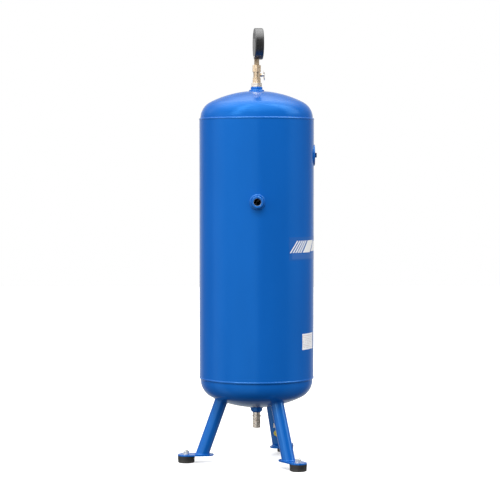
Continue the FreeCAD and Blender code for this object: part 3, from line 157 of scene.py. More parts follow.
class Board:
    """A node tree, and the one way to add a node to it."""

    def __init__(self, tree):
        self.tree = tree

    def node(self, kind, settings=None, sockets=None):
        made = self.tree.nodes.new(kind)
        for key, value in (settings or {}).items():
            if key == "stops":
                ramp = made.color_ramp
                while len(ramp.elements) < len(value):
                    ramp.elements.new(1.0)
                for stop, (place, colour) in zip(ramp.elements, value):
                    stop.position, stop.color = place, colour
            else:
                setattr(made, key, value)
        for key, value in (sockets or {}).items():
            self.feed(made.inputs[key], value)
        return Wire(self, next(s for s in made.outputs if s.enabled))

    def feed(self, socket, value):
        if isinstance(value, Wire):
            self.tree.links.new(value.socket, socket)
        else:
            socket.default_value = value


print("Wire and Board ready")

# %% [markdown]
# ## Finishes
# A finish starts from the Principled shader. Patterns read Object coordinates, which are metres
# in the frame, so a grain of 2 mm is a grain of 2 mm on every piece. What stays the same all
# over a piece is set on the shader's own sockets; only what varies is wired.

# %% Finish board
class Finish(Board):
    """A material with one Principled shader, and the patterns most finishes share."""

    def __init__(self, name, **fixed):
        self.material = bpy.data.materials.new(name)
        self.material.use_nodes = True
        super().__init__(self.material.node_tree)
        self.shader = self.tree.nodes["Principled BSDF"]
        for key, value in fixed.items():
            self.set(key.replace("_", " "), value)
        self.place = self.node("ShaderNodeTexCoord").of("Object")

    def set(self, name, value):
        self.feed(self.shader.inputs[name], value)

    def noise(self, scale, detail=2.0, stretch=(1, 1, 1)):
        where = self.node("ShaderNodeMapping", None, {"Vector": self.place, "Scale": stretch})
        return self.node(
            "ShaderNodeTexNoise", None, {"Vector": where, "Scale": scale, "Detail": detail}
        )

    def blend(self, factor, one, other):
        mixed = self.node(
            "ShaderNodeMix", {"data_type": "RGBA"}, {0: factor, 6: one, 7: other}
        )
        return mixed.of(2)

    def spread(self, value, low, high, start=0.0, end=1.0):
        return self.node(
            "ShaderNodeMapRange", {"clamp": True},
            {"Value": value, "From Min": low, "From Max": high, "To Min": start, "To Max": end},
        )

    def axis(self, name):
        return self.node("ShaderNodeSeparateXYZ", None, {"Vector": self.place}).of(name)

    def bump(self, height, depth):
        self.set("Normal", self.node("ShaderNodeBump", None, {"Height": height, "Distance": depth}))


def grey(level):
    return (level, level, level, 1.0)


finishes = {}
print("Finish ready")

# %% [markdown]
# ## Blue enamel
# The vessel and legs were sprayed with one thick coat of blue enamel. Sprayed enamel is smooth
# but never flat: it dries with an orange-peel skin of about 2 mm, thins at the welds and picks
# up a little dust on top. The skin is bump; the drift in colour and gloss is two wide noises.
# Legs, bosses and weld beads are narrow, so the coat runs thicker and glossier there.

# %% Blue enamel
DUSTY_BLUE, DUST_SHARE = (0.03, 0.17, 0.55, 1), 0.10
GLOSS_DRIFT, PEEL_DEPTH = 0.08, 0.00012


def blue_enamel(name, deep, full, gloss=0.24, tint=(0.34, 1.0, 0.80, 1), smooth=0.16):
    paint = Finish(name, Metallic=0.06, Specular_IOR_Level=gloss, IOR=1.45)
    paint.set("Specular Tint", tint)
    drift = paint.noise(7.0, 3.0, (1, 1, 0.4))
    speck = paint.noise(900.0, 1.0)
    colour = paint.blend(paint.spread(drift, 0.3, 0.7), deep, full)
    dusty = paint.spread(speck, 0.68, 0.8, 0.0, DUST_SHARE)
    paint.set("Base Color", paint.blend(dusty, colour, DUSTY_BLUE))
    patches = paint.noise(24.0, 4.0)
    paint.set("Roughness", paint.spread(patches, 0.25, 0.75, smooth, smooth + GLOSS_DRIFT))
    peel = paint.noise(420.0, 2.0) * 0.8 + paint.noise(60.0, 1.0) * 0.9
    paint.bump(peel, PEEL_DEPTH)
    return paint.material


PAINT_DEEP, PAINT_FULL = (0.0046, 0.103, 0.430, 1), (0.0054, 0.113, 0.466, 1)
finishes["blue_paint"] = blue_enamel("blue enamel", PAINT_DEEP, PAINT_FULL)
finishes["blue_fittings"] = blue_enamel(
    "blue enamel on fittings", PAINT_DEEP, PAINT_FULL,
    gloss=0.62, tint=(0.50, 1.0, 1.0, 1), smooth=0.12,
)
# This darker copy of the blue enamel is painted shade: it is the shell's paint, darkened in its
# colour because the plug sits in shade.
finishes["dark_blue_paint"] = blue_enamel(
    "blue enamel on castings", (0.002, 0.020, 0.11, 1), (0.004, 0.032, 0.16, 1)
)
print("enamel:", [m.name for m in finishes.values()])

# %% [markdown]
# ## Metals
# Turned brass and nickel show fine rings round their axis, zinc plate shows a cloudy blue-gold
# passivation, and spring bronze is drawn smooth. Each is metallic, with the tool marks as bump
# along the height and a slow stain in colour and gloss.

# %% Turned and plated metals
WEAR_SPREAD = 0.12


def worked_metal(name, bright, stained, rough, marks, mark_depth):
    metal = Finish(name, Metallic=0.7)
    stain = metal.spread(metal.noise(190.0, 4.0), 0.35, 0.68)
    metal.set("Base Color", metal.blend(stain, bright, stained))
    wear = metal.noise(300.0, 3.0)
    metal.set("Roughness", metal.spread(wear, 0.3, 0.7, rough, rough + WEAR_SPREAD))
    rings = metal.noise(marks, 2.0, (0.05, 0.05, 1))
    metal.bump(rings, mark_depth)
    return metal.material


finishes["brass"] = worked_metal(
    "turned brass", (0.78, 0.63, 0.45, 1), (0.50, 0.36, 0.22, 1), 0.24, 2600.0, 0.00006)
finishes["nickel"] = worked_metal(
    "nickel plate", (0.84, 0.79, 0.71, 1), (0.58, 0.48, 0.38, 1), 0.22, 2400.0, 0.00005)
finishes["zinc_steel"] = worked_metal(
    "bright zinc plate", (0.84, 0.85, 0.85, 1), (0.66, 0.65, 0.58, 1), 0.32, 1500.0, 0.00004)
finishes["bronze"] = worked_metal(
    "spring bronze", (0.62, 0.40, 0.20, 1), (0.42, 0.25, 0.11, 1), 0.28, 1800.0, 0.00003)
print("metals done")

# %% [markdown]
# ## Rubber, powder coat and sealing plastics
# Moulded rubber is nearly black and matt, with a fine pebbled skin and some floor dust near the
# bottom. Powder coat is black with a tighter, glossier peel. The seals are waxy white plastic.

# %% Rubber and plastics
def moulded(name, one, other, rough, grain, depth, **fixed):
    stuff = Finish(name, **fixed)
    cloud = stuff.spread(stuff.noise(45.0, 4.0), 0.35, 0.7)
    stuff.set("Base Color", stuff.blend(cloud, one, other))
    wear = stuff.noise(130.0, 3.0)
    stuff.set("Roughness", stuff.spread(wear, 0.3, 0.7, rough, rough + WEAR_SPREAD))
    stuff.bump(stuff.noise(grain, 2.0), depth)
    return stuff


rubber = moulded("moulded rubber", grey(0.012), grey(0.022), 0.55, 1400.0, 0.0001)
DUST_HEIGHT, FLOOR_DUST = 0.012, (0.20, 0.19, 0.17, 1)
dust = rubber.spread(rubber.axis("Z"), 0.0, DUST_HEIGHT, 0.35, 0.0) * rubber.noise(160.0, 5.0)
rubber.set("Base Color", rubber.blend(dust, grey(0.016), FLOOR_DUST))
finishes["black_rubber"] = rubber.material
finishes["black_case"] = moulded(
    "black powder coat", grey(0.010), grey(0.018), 0.24, 1700.0, 0.00004,
    Specular_IOR_Level=0.85).material
finishes["sealing_white"] = moulded(
    "white sealing plastic", grey(0.80), grey(0.72), 0.35, 800.0, 0.00004).material
finishes["fibre"] = moulded(
    "red fibre", (0.22, 0.07, 0.03, 1), (0.14, 0.05, 0.03, 1), 0.6, 2500.0, 0.00008).material
finishes["pointer_black"] = moulded(
    "satin black lacquer", grey(0.008), grey(0.014), 0.35, 2200.0, 0.00002).material
finishes["dial_white"] = moulded(
    "white dial enamel", grey(0.86), grey(0.80), 0.30, 900.0, 0.00002).material
print("moulded finishes done")

# %% [markdown]
# ## The window
# The gauge's window is a flat pane. A pane a few millimetres thick hardly bends light, so it is
# made see-through with Alpha and keeps a clear gloss: that renders cleanly and exports well.

# %% Window pane
pane = Finish("clear window", Roughness=0.04, IOR=1.5)
CLEAREST, HAZIEST = 0.10, 0.14
pane.set("Base Color", (0.95, 0.97, 0.98, 1))
pane.set("Alpha", pane.spread(pane.noise(30.0, 3.0), 0.3, 0.7, CLEAREST, HAZIEST))
pane.material.surface_render_method = "BLENDED"
finishes["lens"] = pane.material
print("pane alpha", CLEAREST, "to", HAZIEST)

# %% [markdown]
# ## Printed films
# The banner is a blue film that follows the shell, so its print is laid out by compass heading
# and height: across = heading times radius. Slanted stripes widen towards the front and end in a
# pale block, the same from both ends. Where the real one has lettering, this has plain bars.
# The data label's rows are noise cut into short strokes, so they look printed and say nothing.

# %% Banner print
shell_low, shell_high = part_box("tank_shell")
SHELL_RADIUS = (shell_high.y - shell_low.y) / 2
banner_low, banner_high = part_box("banner_label")
BANNER_TALL = banner_high.z - banner_low.z
print("shell radius", round(SHELL_RADIUS, 4), "banner", round(BANNER_TALL, 4), "tall")


def heading_on(finish):
    """The angle from the front round towards +X, as it is in the frame."""
    return finish.node(
        "ShaderNodeMath", {"operation": "ARCTAN2"},
        {0: finish.axis("X"), 1: finish.axis("Y") * -1.0},
    )


film = Finish("printed blue film", Roughness=0.26, Specular_IOR_Level=0.25)
heading = heading_on(film)
up = (film.axis("Z") - banner_low.z) / BANNER_TALL
BANNER_END = math.radians(57.1)
across = (BANNER_END - heading.size()) * SHELL_RADIUS

# Heights are shares of the banner's own height; widths are metres from its end.
STRIPES_LOW, STRIPES_HIGH, LEAN_PER_TALL = 0.32, 0.84, 0.79
FIRST_STRIPE, STRIPE_PITCH, STRIPES_END = 0.0027, 0.0108, 0.056
THIN_STRIPE, WIDE_STRIPE = 0.46, 0.66
lean = across - (up - STRIPES_LOW) * (BANNER_TALL * LEAN_PER_TALL)
share = film.spread(lean, 0.0, STRIPES_END, THIN_STRIPE, WIDE_STRIPE)
stripes = (lean - FIRST_STRIPE).wrap(STRIPE_PITCH) < share * STRIPE_PITCH
stripes = stripes * lean.between(FIRST_STRIPE, STRIPES_END)

BLOCK_START, BLOCK_END, FRONT_BLOCK_START = 0.0604, 0.107, 0.113
FRONT_BLOCK_LOW, FRONT_BLOCK_HIGH = 0.36, 0.80
front_block = (lean > FRONT_BLOCK_START) * up.between(FRONT_BLOCK_LOW, FRONT_BLOCK_HIGH)
blocks = lean.between(BLOCK_START, BLOCK_END) + front_block
print_mask = up.between(STRIPES_LOW, STRIPES_HIGH) * (stripes + blocks)

BAND_LOW, BAND_HIGH, BAND_START, BAND_SHARE = 0.05, 0.28, 0.012, 0.06
pale = film.spread(across, 0.0, 0.11, 0.05, 0.45)
ground = film.blend(pale, (0.006, 0.100, 0.40, 1), (0.032, 0.150, 0.45, 1))
low_band = up.between(BAND_LOW, BAND_HIGH) * (across > BAND_START) * BAND_SHARE
ground = film.blend(low_band, ground, (0.35, 0.48, 0.72, 1))
film.set("Base Color", film.blend(print_mask, ground, grey(0.83)))
film.bump(film.noise(300.0, 2.0), 0.00005)
finishes["banner_film"] = film.material

# %% Data label
data_low, data_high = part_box("data_label")
label = Finish("printed pale film", Roughness=0.42, Coat_Weight=0.15)
down = (data_high.z - label.axis("Z")) / (data_high.z - data_low.z)
ROW_PITCH, ROW_TALL, ROWS_TOP, ROWS_END = 0.105, 0.055, 0.20, 0.93
STROKES_PER_METRE, GAP_SHARE = 340.0, 0.28
HEADER_TOP, HEADER_END = 0.09, 0.16
rows = (down.wrap(ROW_PITCH) < ROW_TALL) * down.between(ROWS_TOP, ROWS_END)
label_across = heading_on(label) * SHELL_RADIUS
cell = label.node("ShaderNodeCombineXYZ", None, {
    0: (label_across * STROKES_PER_METRE).floor(), 1: (down / ROW_PITCH).floor()})
words = label.node("ShaderNodeTexWhiteNoise", {"noise_dimensions": "2D"}, {"Vector": cell})
ink = rows * (words > GAP_SHARE)
header = down.between(HEADER_TOP, HEADER_END)
cloudy = label.spread(label.noise(60.0, 3.0), 0.3, 0.7)
bare = label.blend(cloudy, grey(0.92), (0.86, 0.89, 0.93, 1))
inked = label.blend(ink * 0.46, bare, (0.42, 0.34, 0.36, 1))
label.set("Base Color", label.blend(header * 0.35, inked, (0.45, 0.20, 0.25, 1)))
label.bump(label.noise(500.0, 2.0), 0.00004)
finishes["data_film"] = label.material
print("label", round(data_high.z - data_low.z, 4), "tall")

# %% Stickers on a leg
sticker = Finish("small printed stickers", Roughness=0.35, Coat_Weight=0.2)
sticker_low, sticker_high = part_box("leg_stickers")
lower_one = sticker.axis("Z") < 0.5 * (sticker_low.z + sticker_high.z)
rings = sticker.node(
    "ShaderNodeTexWave", {"wave_type": "RINGS"}, {"Vector": sticker.place, "Scale": 60.0})
ringed = sticker.spread(rings.of(1), 0.4, 0.6)
yellow = sticker.blend(ringed, (0.80, 0.62, 0.05, 1), (0.55, 0.50, 0.08, 1))
specks = sticker.spread(sticker.noise(220.0, 2.0), 0.55, 0.6)
white = sticker.blend(specks, grey(0.82), grey(0.45))
sticker.set("Base Color", sticker.blend(lower_one, white, yellow))
sticker.bump(sticker.noise(600.0, 2.0), 0.00003)
finishes["sticker_film"] = sticker.material
print("finishes:", sorted(finishes))

# %% [markdown]
# ## Dressing the frame
# Every CAD node takes the finish that the record names for its slot, and the narrow painted
# ones take the glossier coat. Only the material slot changes: the mesh stays as it was packed.

# %% Put the finishes on the CAD nodes
def dress(piece, slot):
    piece.data.materials.clear()
    piece.data.materials.append(finishes[slot])


GLOSSY_STARTS = (
    "leg_tube", "foot_plate", "top_boss", "bottom_boss", "left_port", "inspection_boss")
for node, piece in frame["nodes"].items():
    dress(piece, "blue_fittings" if node.startswith(GLOSSY_STARTS) else slot_of[node])
print("dressed", len(frame["nodes"]), "nodes")

# %% [markdown]
# ## Growing what repeats
# Ripples, threads and dial marks repeat by rule, so each is a Geometry Nodes tree. `Shape` is
# the same board with named inputs; `grow` runs a tree on a path, keeps the result as one plain
# mesh and drops the modifier, so nothing live is left on the piece.

# %% Shape trees
SOCKET_KINDS = {float: "NodeSocketFloat", int: "NodeSocketInt", tuple: "NodeSocketVector"}


class Shape(Board):
    """A Geometry Nodes tree with a Geometry input and named sizes."""

    def __init__(self, name, **sizes):
        super().__init__(bpy.data.node_groups.new(name, "GeometryNodeTree"))
        face = self.tree.interface
        face.new_socket("Geometry", in_out="INPUT", socket_type="NodeSocketGeometry")
        self.keys = {}
        for label, value in sizes.items():
            made = face.new_socket(label, in_out="INPUT", socket_type=SOCKET_KINDS[type(value)])
            made.default_value = value
            self.keys[label] = made.identifier
        paint = face.new_socket("Finish", in_out="INPUT", socket_type="NodeSocketMaterial")
        self.keys["Finish"] = paint.identifier
        face.new_socket("Geometry", in_out="OUTPUT", socket_type="NodeSocketGeometry")
        self.inlet = self.tree.nodes.new("NodeGroupInput")
        self.outlet = self.tree.nodes.new("NodeGroupOutput")

    def given(self, label):
        return Wire(self, self.inlet.outputs[label])

    def end(self, geometry):
        whole = self.node("GeometryNodeRealizeInstances", None, {0: geometry})
        painted = self.node(
            "GeometryNodeSetMaterial", None, {"Geometry": whole, "Material": self.given("Finish")})
        self.feed(self.outlet.inputs[0], painted)


def grow(name, shape, slot, path=(), closed=False, **sizes):
    """Runs a tree on a path of points and returns a plain mesh object."""
    carrier = bpy.data.meshes.new(name)
    count = len(path)
    edges = [(i, (i + 1) % count) for i in range(count if closed else max(count - 1, 0))]
    carrier.from_pydata([tuple(p) for p in path], edges, [])
    maker = bpy.data.objects.new(name, carrier)
    scene.collection.objects.link(maker)
    step = maker.modifiers.new("grow", "NODES")
    step.node_group = shape.tree
    for label, value in {**sizes, "Finish": finishes[slot]}.items():
        step[shape.keys[label]] = value
    ready = maker.evaluated_get(bpy.context.evaluated_depsgraph_get())
    mesh = bpy.data.meshes.new_from_object(ready)
    bpy.data.objects.remove(maker)
    bpy.data.meshes.remove(carrier)
    mesh.name = name
    mesh.materials.clear()
    mesh.materials.append(finishes[slot])
    mesh.polygons.foreach_set("material_index", [0] * len(mesh.polygons))
    piece = bpy.data.objects.new(name, mesh)
    scene.collection.objects.link(piece)
    return piece


def joined(name, pieces):
    """One object from several of one finish, each already in place."""
    whole = bmesh.new()
    for piece in pieces:
        whole.from_mesh(piece.data)
    mesh = bpy.data.meshes.new(name)
    whole.to_mesh(mesh)
    whole.free()
    mesh.materials.append(pieces[0].data.materials[0])
    for piece in pieces:
        bpy.data.objects.remove(piece)
    piece = bpy.data.objects.new(name, mesh)
    scene.collection.objects.link(piece)
    return piece


def hand_over(piece, body, slot, *replaced):
    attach(piece, body)
    if replaced:
        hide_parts(*replaced)
    piece.data.calc_loop_triangles()
    print(piece.name, len(piece.data.loop_triangles), "triangles on", body)


print("Shape and grow ready")

# %% [markdown]
# ## Weld beads
# A machine weld freezes in ripples, one for each beat of the wire. The bead is a round section
# swept along the joint, and its radius swells and pinches about every 3 mm. It sinks into both
# plates as a real bead does. A row of coins would ripple too, but leave faces inside each other.

# %% Weld bead tree
RIPPLE_SAMPLES, RIPPLE_MEAN, SECTION_SIDES = 5, 0.6, 12
weld = Shape("rippled weld", Bead=0.0036, Pitch=0.003, Depth=0.05)
path = weld.node("GeometryNodeMeshToCurve", None, {"Mesh": weld.given("Geometry")})
path = weld.node("GeometryNodeResampleCurve", {"mode": "LENGTH"}, {
    "Curve": path, "Length": weld.given("Pitch") / RIPPLE_SAMPLES})
along = weld.node("GeometryNodeSplineParameter").of("Length")
ripple = (along * math.pi / weld.given("Pitch")).sine().size()
path = weld.node("GeometryNodeSetCurveRadius", None, {
    "Curve": path, "Radius": 1.0 + (ripple - RIPPLE_MEAN) * weld.given("Depth")})
section = weld.node("GeometryNodeCurvePrimitiveCircle", None, {
    "Resolution": SECTION_SIDES, "Radius": weld.given("Bead")})
bead = weld.node("GeometryNodeCurveToMesh", None, {
    "Curve": path, "Profile Curve": section.of("Curve"), "Fill Caps": True})
weld.end(weld.node("GeometryNodeSetShadeSmooth", None, {"Geometry": bead}))
print("weld tree:", len(weld.tree.nodes), "nodes")

# %% [markdown]
# ## The joints' paths
# Round the ends of the shell and round each boss, the joint is a circle or a saddle. Where a leg
# meets the bottom head it has no simple formula, so each line along the leg's skin is followed up
# to the head, and halved until the two surfaces meet.

# %% Paths along the joints
record_mounts = {m["name"]: m for m in frame["record"]["mounts"]}
PORT_HEIGHT = record_mounts["left_port"]["pos_m"][2]
CROWN, KNUCKLE, HEAD_RIM = 0.330, 0.060, 0.1819
DOME_RISE = CROWN - math.sqrt((CROWN - KNUCKLE) ** 2 - (HEAD_RIM - KNUCKLE) ** 2)
BOTTOM_TANGENT, TOP_TANGENT = shell_low.z - 0.010, shell_high.z + 0.004
BOSS = 0.019
STEPS = 240


def circle(radius, height):
    angles = [2 * math.pi * i / STEPS for i in range(STEPS)]
    return [Vector((radius * math.cos(a), radius * math.sin(a), height)) for a in angles]


def saddle(way, radius, height, lift):
    """Round a boss on the shell: way is -1 or 1 along X, or 0 for the front."""
    points = []
    for i in range(STEPS):
        a = 2 * math.pi * i / STEPS
        side, up_part = radius * math.cos(a), radius * math.sin(a)
        out = math.sqrt(SHELL_RADIUS**2 - side**2) + lift
        spot = (way * out, side) if way else (side, -out)
        points.append(Vector((*spot, height + up_part)))
    return points


def dome_drop(radius):
    """How far a head has curved away from its tangent line, at a distance from the axis."""
    flat_start = (HEAD_RIM - KNUCKLE) * CROWN / (CROWN - KNUCKLE)
    if radius <= flat_start:
        return math.sqrt(CROWN**2 - radius**2) - (CROWN - DOME_RISE)
    return math.sqrt(max(KNUCKLE**2 - (radius - (HEAD_RIM - KNUCKLE)) ** 2, 0.0))


LEG_LEAN, LEG_OUT, PLATE_TOP, LEG_SKIN = 0.357, 0.177, 0.027, 0.0212
LEG_STEPS, HALVINGS = STEPS // 2, 30
NEAREST_JOINT, FARTHEST_JOINT = 0.05, 0.30


def leg_paths(mount_name, grow_by):
    """The joint at the foot plate and the joint at the head, for one leg."""
    foot = Vector(record_mounts[mount_name]["pos_m"])
    outward = Vector((foot.x, foot.y, 0)).normalized()
    rise = (Vector((0, 0, 1)) - outward * LEG_LEAN).normalized()
    base = outward * LEG_OUT + Vector((0, 0, PLATE_TOP))
    sideways = rise.cross(outward).normalized()
    inward = sideways.cross(rise).normalized()
    low_path, high_path = [], []
    for i in range(LEG_STEPS):
        a = 2 * math.pi * i / LEG_STEPS
        skin = base + (sideways * math.cos(a) + inward * math.sin(a)) * (LEG_SKIN + grow_by)
        low_path.append(skin + rise * ((PLATE_TOP + grow_by - skin.z) / rise.z))
        under, over = NEAREST_JOINT, FARTHEST_JOINT
        for _ in range(HALVINGS):
            half = (under + over) / 2
            spot = skin + rise * half
            reach = math.hypot(spot.x, spot.y)
            inside = reach < HEAD_RIM and spot.z > BOTTOM_TANGENT - dome_drop(reach)
            under, over = (under, half) if inside else (half, over)
        high_path.append(skin + rise * under)
    return low_path, high_path


print("port height", round(PORT_HEIGHT, 3), "dome rise", round(DOME_RISE, 4))

# %% Lay the beads round the shell, the bosses and the legs
FEET = ("foot_left", "foot_right", "foot_rear")


def ring_bead(name, ring, size, pitch, depth):
    """A closed bead of the glossier coat: its half width, ripple pitch and ripple depth."""
    return grow(name, weld, "blue_fittings", ring, True, Bead=size, Pitch=pitch, Depth=depth)


SEAM_INSET, GIRTH_LIFT = 0.0027, 0.0015
girth = [
    ring_bead("girth", circle(SHELL_RADIUS - SEAM_INSET, end), 0.0039, 0.0036, 0.05)
    for end in (shell_high.z + GIRTH_LIFT, shell_low.z - GIRTH_LIFT)]
hand_over(joined("round_weld_beads", girth), "receiver", "blue_paint", "girth_welds")

crown = BOSS + 0.0020
CROWN_LIFT, PORT_LIFT = 0.0006, 0.0008
crown_top = TOP_TANGENT + dome_drop(crown) + CROWN_LIFT
crown_bottom = BOTTOM_TANGENT - dome_drop(crown) - CROWN_LIFT
plate_low, plate_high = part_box("inspection_boss")
plate_radius = (plate_high.x - plate_low.x) / 2
plate_height = (plate_low.z + plate_high.z) / 2
boss_beads = [
    ring_bead("crown", circle(crown, crown_top), 0.0040, 0.0030, 0.07),
    ring_bead("crown", circle(crown, crown_bottom), 0.0030, 0.0026, 0.07),
    ring_bead("port", saddle(-1, crown, PORT_HEIGHT, PORT_LIFT), 0.0042, 0.0030, 0.07),
    ring_bead("port", saddle(1, crown, PORT_HEIGHT, PORT_LIFT), 0.0042, 0.0030, 0.07),
    ring_bead("inspection", saddle(0, plate_radius, plate_height, 0.0), 0.0022, 0.0026, 0.06)]
hand_over(joined("boss_weld_beads", boss_beads), "receiver", "blue_paint", "boss_welds")

LEG_GAP = 0.0004
leg_rings = [ring for leg in FEET for ring in leg_paths(leg, LEG_GAP)]
leg_beads = [ring_bead("leg", ring, 0.0027, 0.0026, 0.08) for ring in leg_rings]
hand_over(joined("leg_weld_beads", leg_beads), "receiver", "blue_paint", "leg_welds")

# %% Lay the long seam

seam_low, seam_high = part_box("shell_seam_weld")
seam_way = Vector((seam_low.x + seam_high.x, seam_low.y + seam_high.y, 0)).normalized()
SEAM_BEAD, SEAM_PROUD = 0.0073, 0.0009
seam_axis = seam_way * (SHELL_RADIUS + SEAM_PROUD - SEAM_BEAD)
seam_path = [seam_axis + Vector((0, 0, z)) for z in (seam_low.z, seam_high.z)]
seam = grow(
    "seam_weld_bead", weld, "blue_paint", seam_path, Bead=SEAM_BEAD, Pitch=0.004, Depth=0.02)
hand_over(seam, "receiver", "blue_paint", "shell_seam_weld")

# %% [markdown]
# ## Screw threads
# A thread is a sharp section carried round a helix. The Spiral node is that helix: turns, two
# radii and a height. The ridge sits proud of the plain rod or bore that the frame already has.

# %% Thread tree and threads
thread = Shape("screw thread", Turns=3.0, Round=0.005, Tall=0.0045, Ridge=0.0004,
               Place=(0.0, 0.0, 0.0), Turn=(0.0, 0.0, 0.0))
helix = thread.node("GeometryNodeCurveSpiral", None, {
    "Resolution": 40, "Rotations": thread.given("Turns"), "Start Radius": thread.given("Round"),
    "End Radius": thread.given("Round"), "Height": thread.given("Tall")})
edge = thread.node("GeometryNodeCurvePrimitiveCircle", None, {
    "Resolution": 3, "Radius": thread.given("Ridge")})
wound = thread.node("GeometryNodeCurveToMesh", None, {
    "Curve": helix, "Profile Curve": edge.of("Curve"), "Fill Caps": True})
thread.end(thread.node("GeometryNodeTransform", None, {
    "Geometry": wound, "Translation": thread.given("Place"), "Rotation": thread.given("Turn")}))

nut_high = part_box("foot_nuts")[1]
stud_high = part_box("foot_studs")[1]
STUD, STUD_TURNS, STUD_RIDGE = 0.005, 2.6, 0.00042
ABOVE_NUT, BELOW_TIP = 0.0004, 0.0012
threads = []
for leg in FEET:
    foot = record_mounts[leg]["pos_m"]
    threads.append(grow(
        "stud", thread, "zinc_steel", Turns=STUD_TURNS, Round=STUD, Ridge=STUD_RIDGE,
        Tall=stud_high.z - nut_high.z - BELOW_TIP,
        Place=(foot[0], foot[1], nut_high.z + ABOVE_NUT)))
hand_over(joined("stud_threads", threads), "receiver", "zinc_steel")

PORT_BORE = record_mounts["left_port"]["dims"]["r_mm"] * MM
boss_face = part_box("left_port_boss")[0].x
PORT_TURNS, PORT_RIDGE, PORT_DEEP = 11.0, 0.0007, 0.0205
port_thread = grow(
    "port_thread", thread, "zinc_steel", Turns=PORT_TURNS, Round=PORT_BORE + 0.0002,
    Ridge=PORT_RIDGE, Tall=PORT_DEEP, Place=(boss_face + 0.0015, 0.0, PORT_HEIGHT),
    Turn=(0.0, math.pi / 2, 0.0))
hand_over(port_thread, "receiver", "zinc_steel")

# %% [markdown]
# ## Dial print
# Marks run clockwise over three quarters of a turn. The tree puts a small bar on each point of
# an arc, longer ones for the even numbers. The numbers are text made into mesh before it is
# placed. Both stand a hair proud of the dial, as thick printing ink does.

# %% Dial marks
DIAL_TURN = math.radians(5.0)
face_right = Vector((math.cos(DIAL_TURN), math.sin(DIAL_TURN), 0))
face_out = Vector((math.sin(DIAL_TURN), -math.cos(DIAL_TURN), 0))
case_low, case_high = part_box("gauge_case")
GAUGE_HEIGHT = (case_low.z + case_high.z) / 2
DIAL_FACE = 0.0084
dial_frame = Matrix((
    (face_right.x, 0, face_out.x, face_out.x * DIAL_FACE),
    (face_right.y, 0, face_out.y, face_out.y * DIAL_FACE),
    (0, 1, 0, GAUGE_HEIGHT),
    (0, 0, 0, 1)))
SCALE_START, SCALE_SWEEP = math.radians(-45.0), math.radians(270.0)

marks = Shape("dial marks", Count=41, Round=0.042, Long=0.003, Wide=0.0003)
arc = marks.node("GeometryNodeCurveArc", {"mode": "RADIUS"}, {
    "Resolution": marks.given("Count"), "Radius": marks.given("Round"),
    "Start Angle": SCALE_START, "Sweep Angle": SCALE_SWEEP})
points = marks.node("GeometryNodeCurveToPoints", {"mode": "EVALUATED"}, {"Curve": arc.of("Curve")})
outward = marks.node("ShaderNodeSeparateXYZ", None, {
    "Vector": marks.node("GeometryNodeInputPosition")})
angle = marks.node("ShaderNodeMath", {"operation": "ARCTAN2"}, {
    0: outward.of("Y"), 1: outward.of("X")})
turn = marks.node("ShaderNodeCombineXYZ", None, {"Z": angle})
bar_size = marks.node("ShaderNodeCombineXYZ", None, {
    "X": marks.given("Long"), "Y": marks.given("Wide"), "Z": 0.0001})
bar = marks.node("GeometryNodeMeshCube", None, {"Size": bar_size}).of("Mesh")
marks.end(marks.node("GeometryNodeInstanceOnPoints", None, {
    "Points": points.of("Points"), "Instance": bar, "Rotation": turn}))

# Each kind of mark: how many, how long and how wide. All end on one circle.
MARK_EDGE = 0.0435
MARK_KINDS = {
    "fine": (81, 0.0020, 0.00022), "unit": (17, 0.0032, 0.00045), "even": (9, 0.0044, 0.00080)}
dial_parts = [
    grow(kind, marks, "pointer_black", Count=many, Round=MARK_EDGE - tall / 2,
         Long=tall, Wide=wide)
    for kind, (many, tall, wide) in MARK_KINDS.items()]
for part in dial_parts:
    part.data.transform(dial_frame)
print("marks:", [len(part.data.polygons) // 6 for part in dial_parts])

# %% Dial numbers
TOP_NUMBER, NUMBER_STEP, NUMBER_CIRCLE, NUMBER_TALL = 16, 2, 0.0335, 0.0072
UNIT_DROP, UNIT_TALL = -0.026, 0.0062
INK_HALF, INK_LIFT = 0.00005, 0.00003


def number(text, size, across_by, up_by):
    words = bpy.data.curves.new("number", "FONT")
    words.body, words.size = text, size
    words.align_x, words.align_y = "CENTER", "CENTER"
    words.extrude = INK_HALF
    words.resolution_u = 3
    holder = bpy.data.objects.new("number", words)
    scene.collection.objects.link(holder)
    ready = holder.evaluated_get(bpy.context.evaluated_depsgraph_get())
    mesh = bpy.data.meshes.new_from_object(ready)
    bpy.data.objects.remove(holder)
    mesh.transform(dial_frame @ Matrix.Translation((across_by, up_by, INK_LIFT)))
    mesh.materials.clear()
    mesh.materials.append(finishes["pointer_black"])
    piece = bpy.data.objects.new("number", mesh)
    scene.collection.objects.link(piece)
    return piece


for value in range(0, TOP_NUMBER + 1, NUMBER_STEP):
    a = SCALE_START + SCALE_SWEEP * (1 - value / TOP_NUMBER)
    dial_parts.append(number(
        str(value), NUMBER_TALL, NUMBER_CIRCLE * math.cos(a), NUMBER_CIRCLE * math.sin(a)))
dial_parts.append(number("bar", UNIT_TALL, 0.0, UNIT_DROP))
hand_over(joined("dial_print", dial_parts), "receiver", "pointer_black")

# %% [markdown]
# ## Floor and light
# A pale floor and a pale world make the plain studio. Glossy enamel shows what stands round it,
# so the world has two sides: rays that light or see the scene meet an even pale room, and rays
# that a glossy coat reflects meet a ring of soft boxes, a bright ceiling and a white far wall.
# Those draw the upright streaks on the legs and the bright rim on the top head. Soft panels
# stand high in front, behind and at the sides.

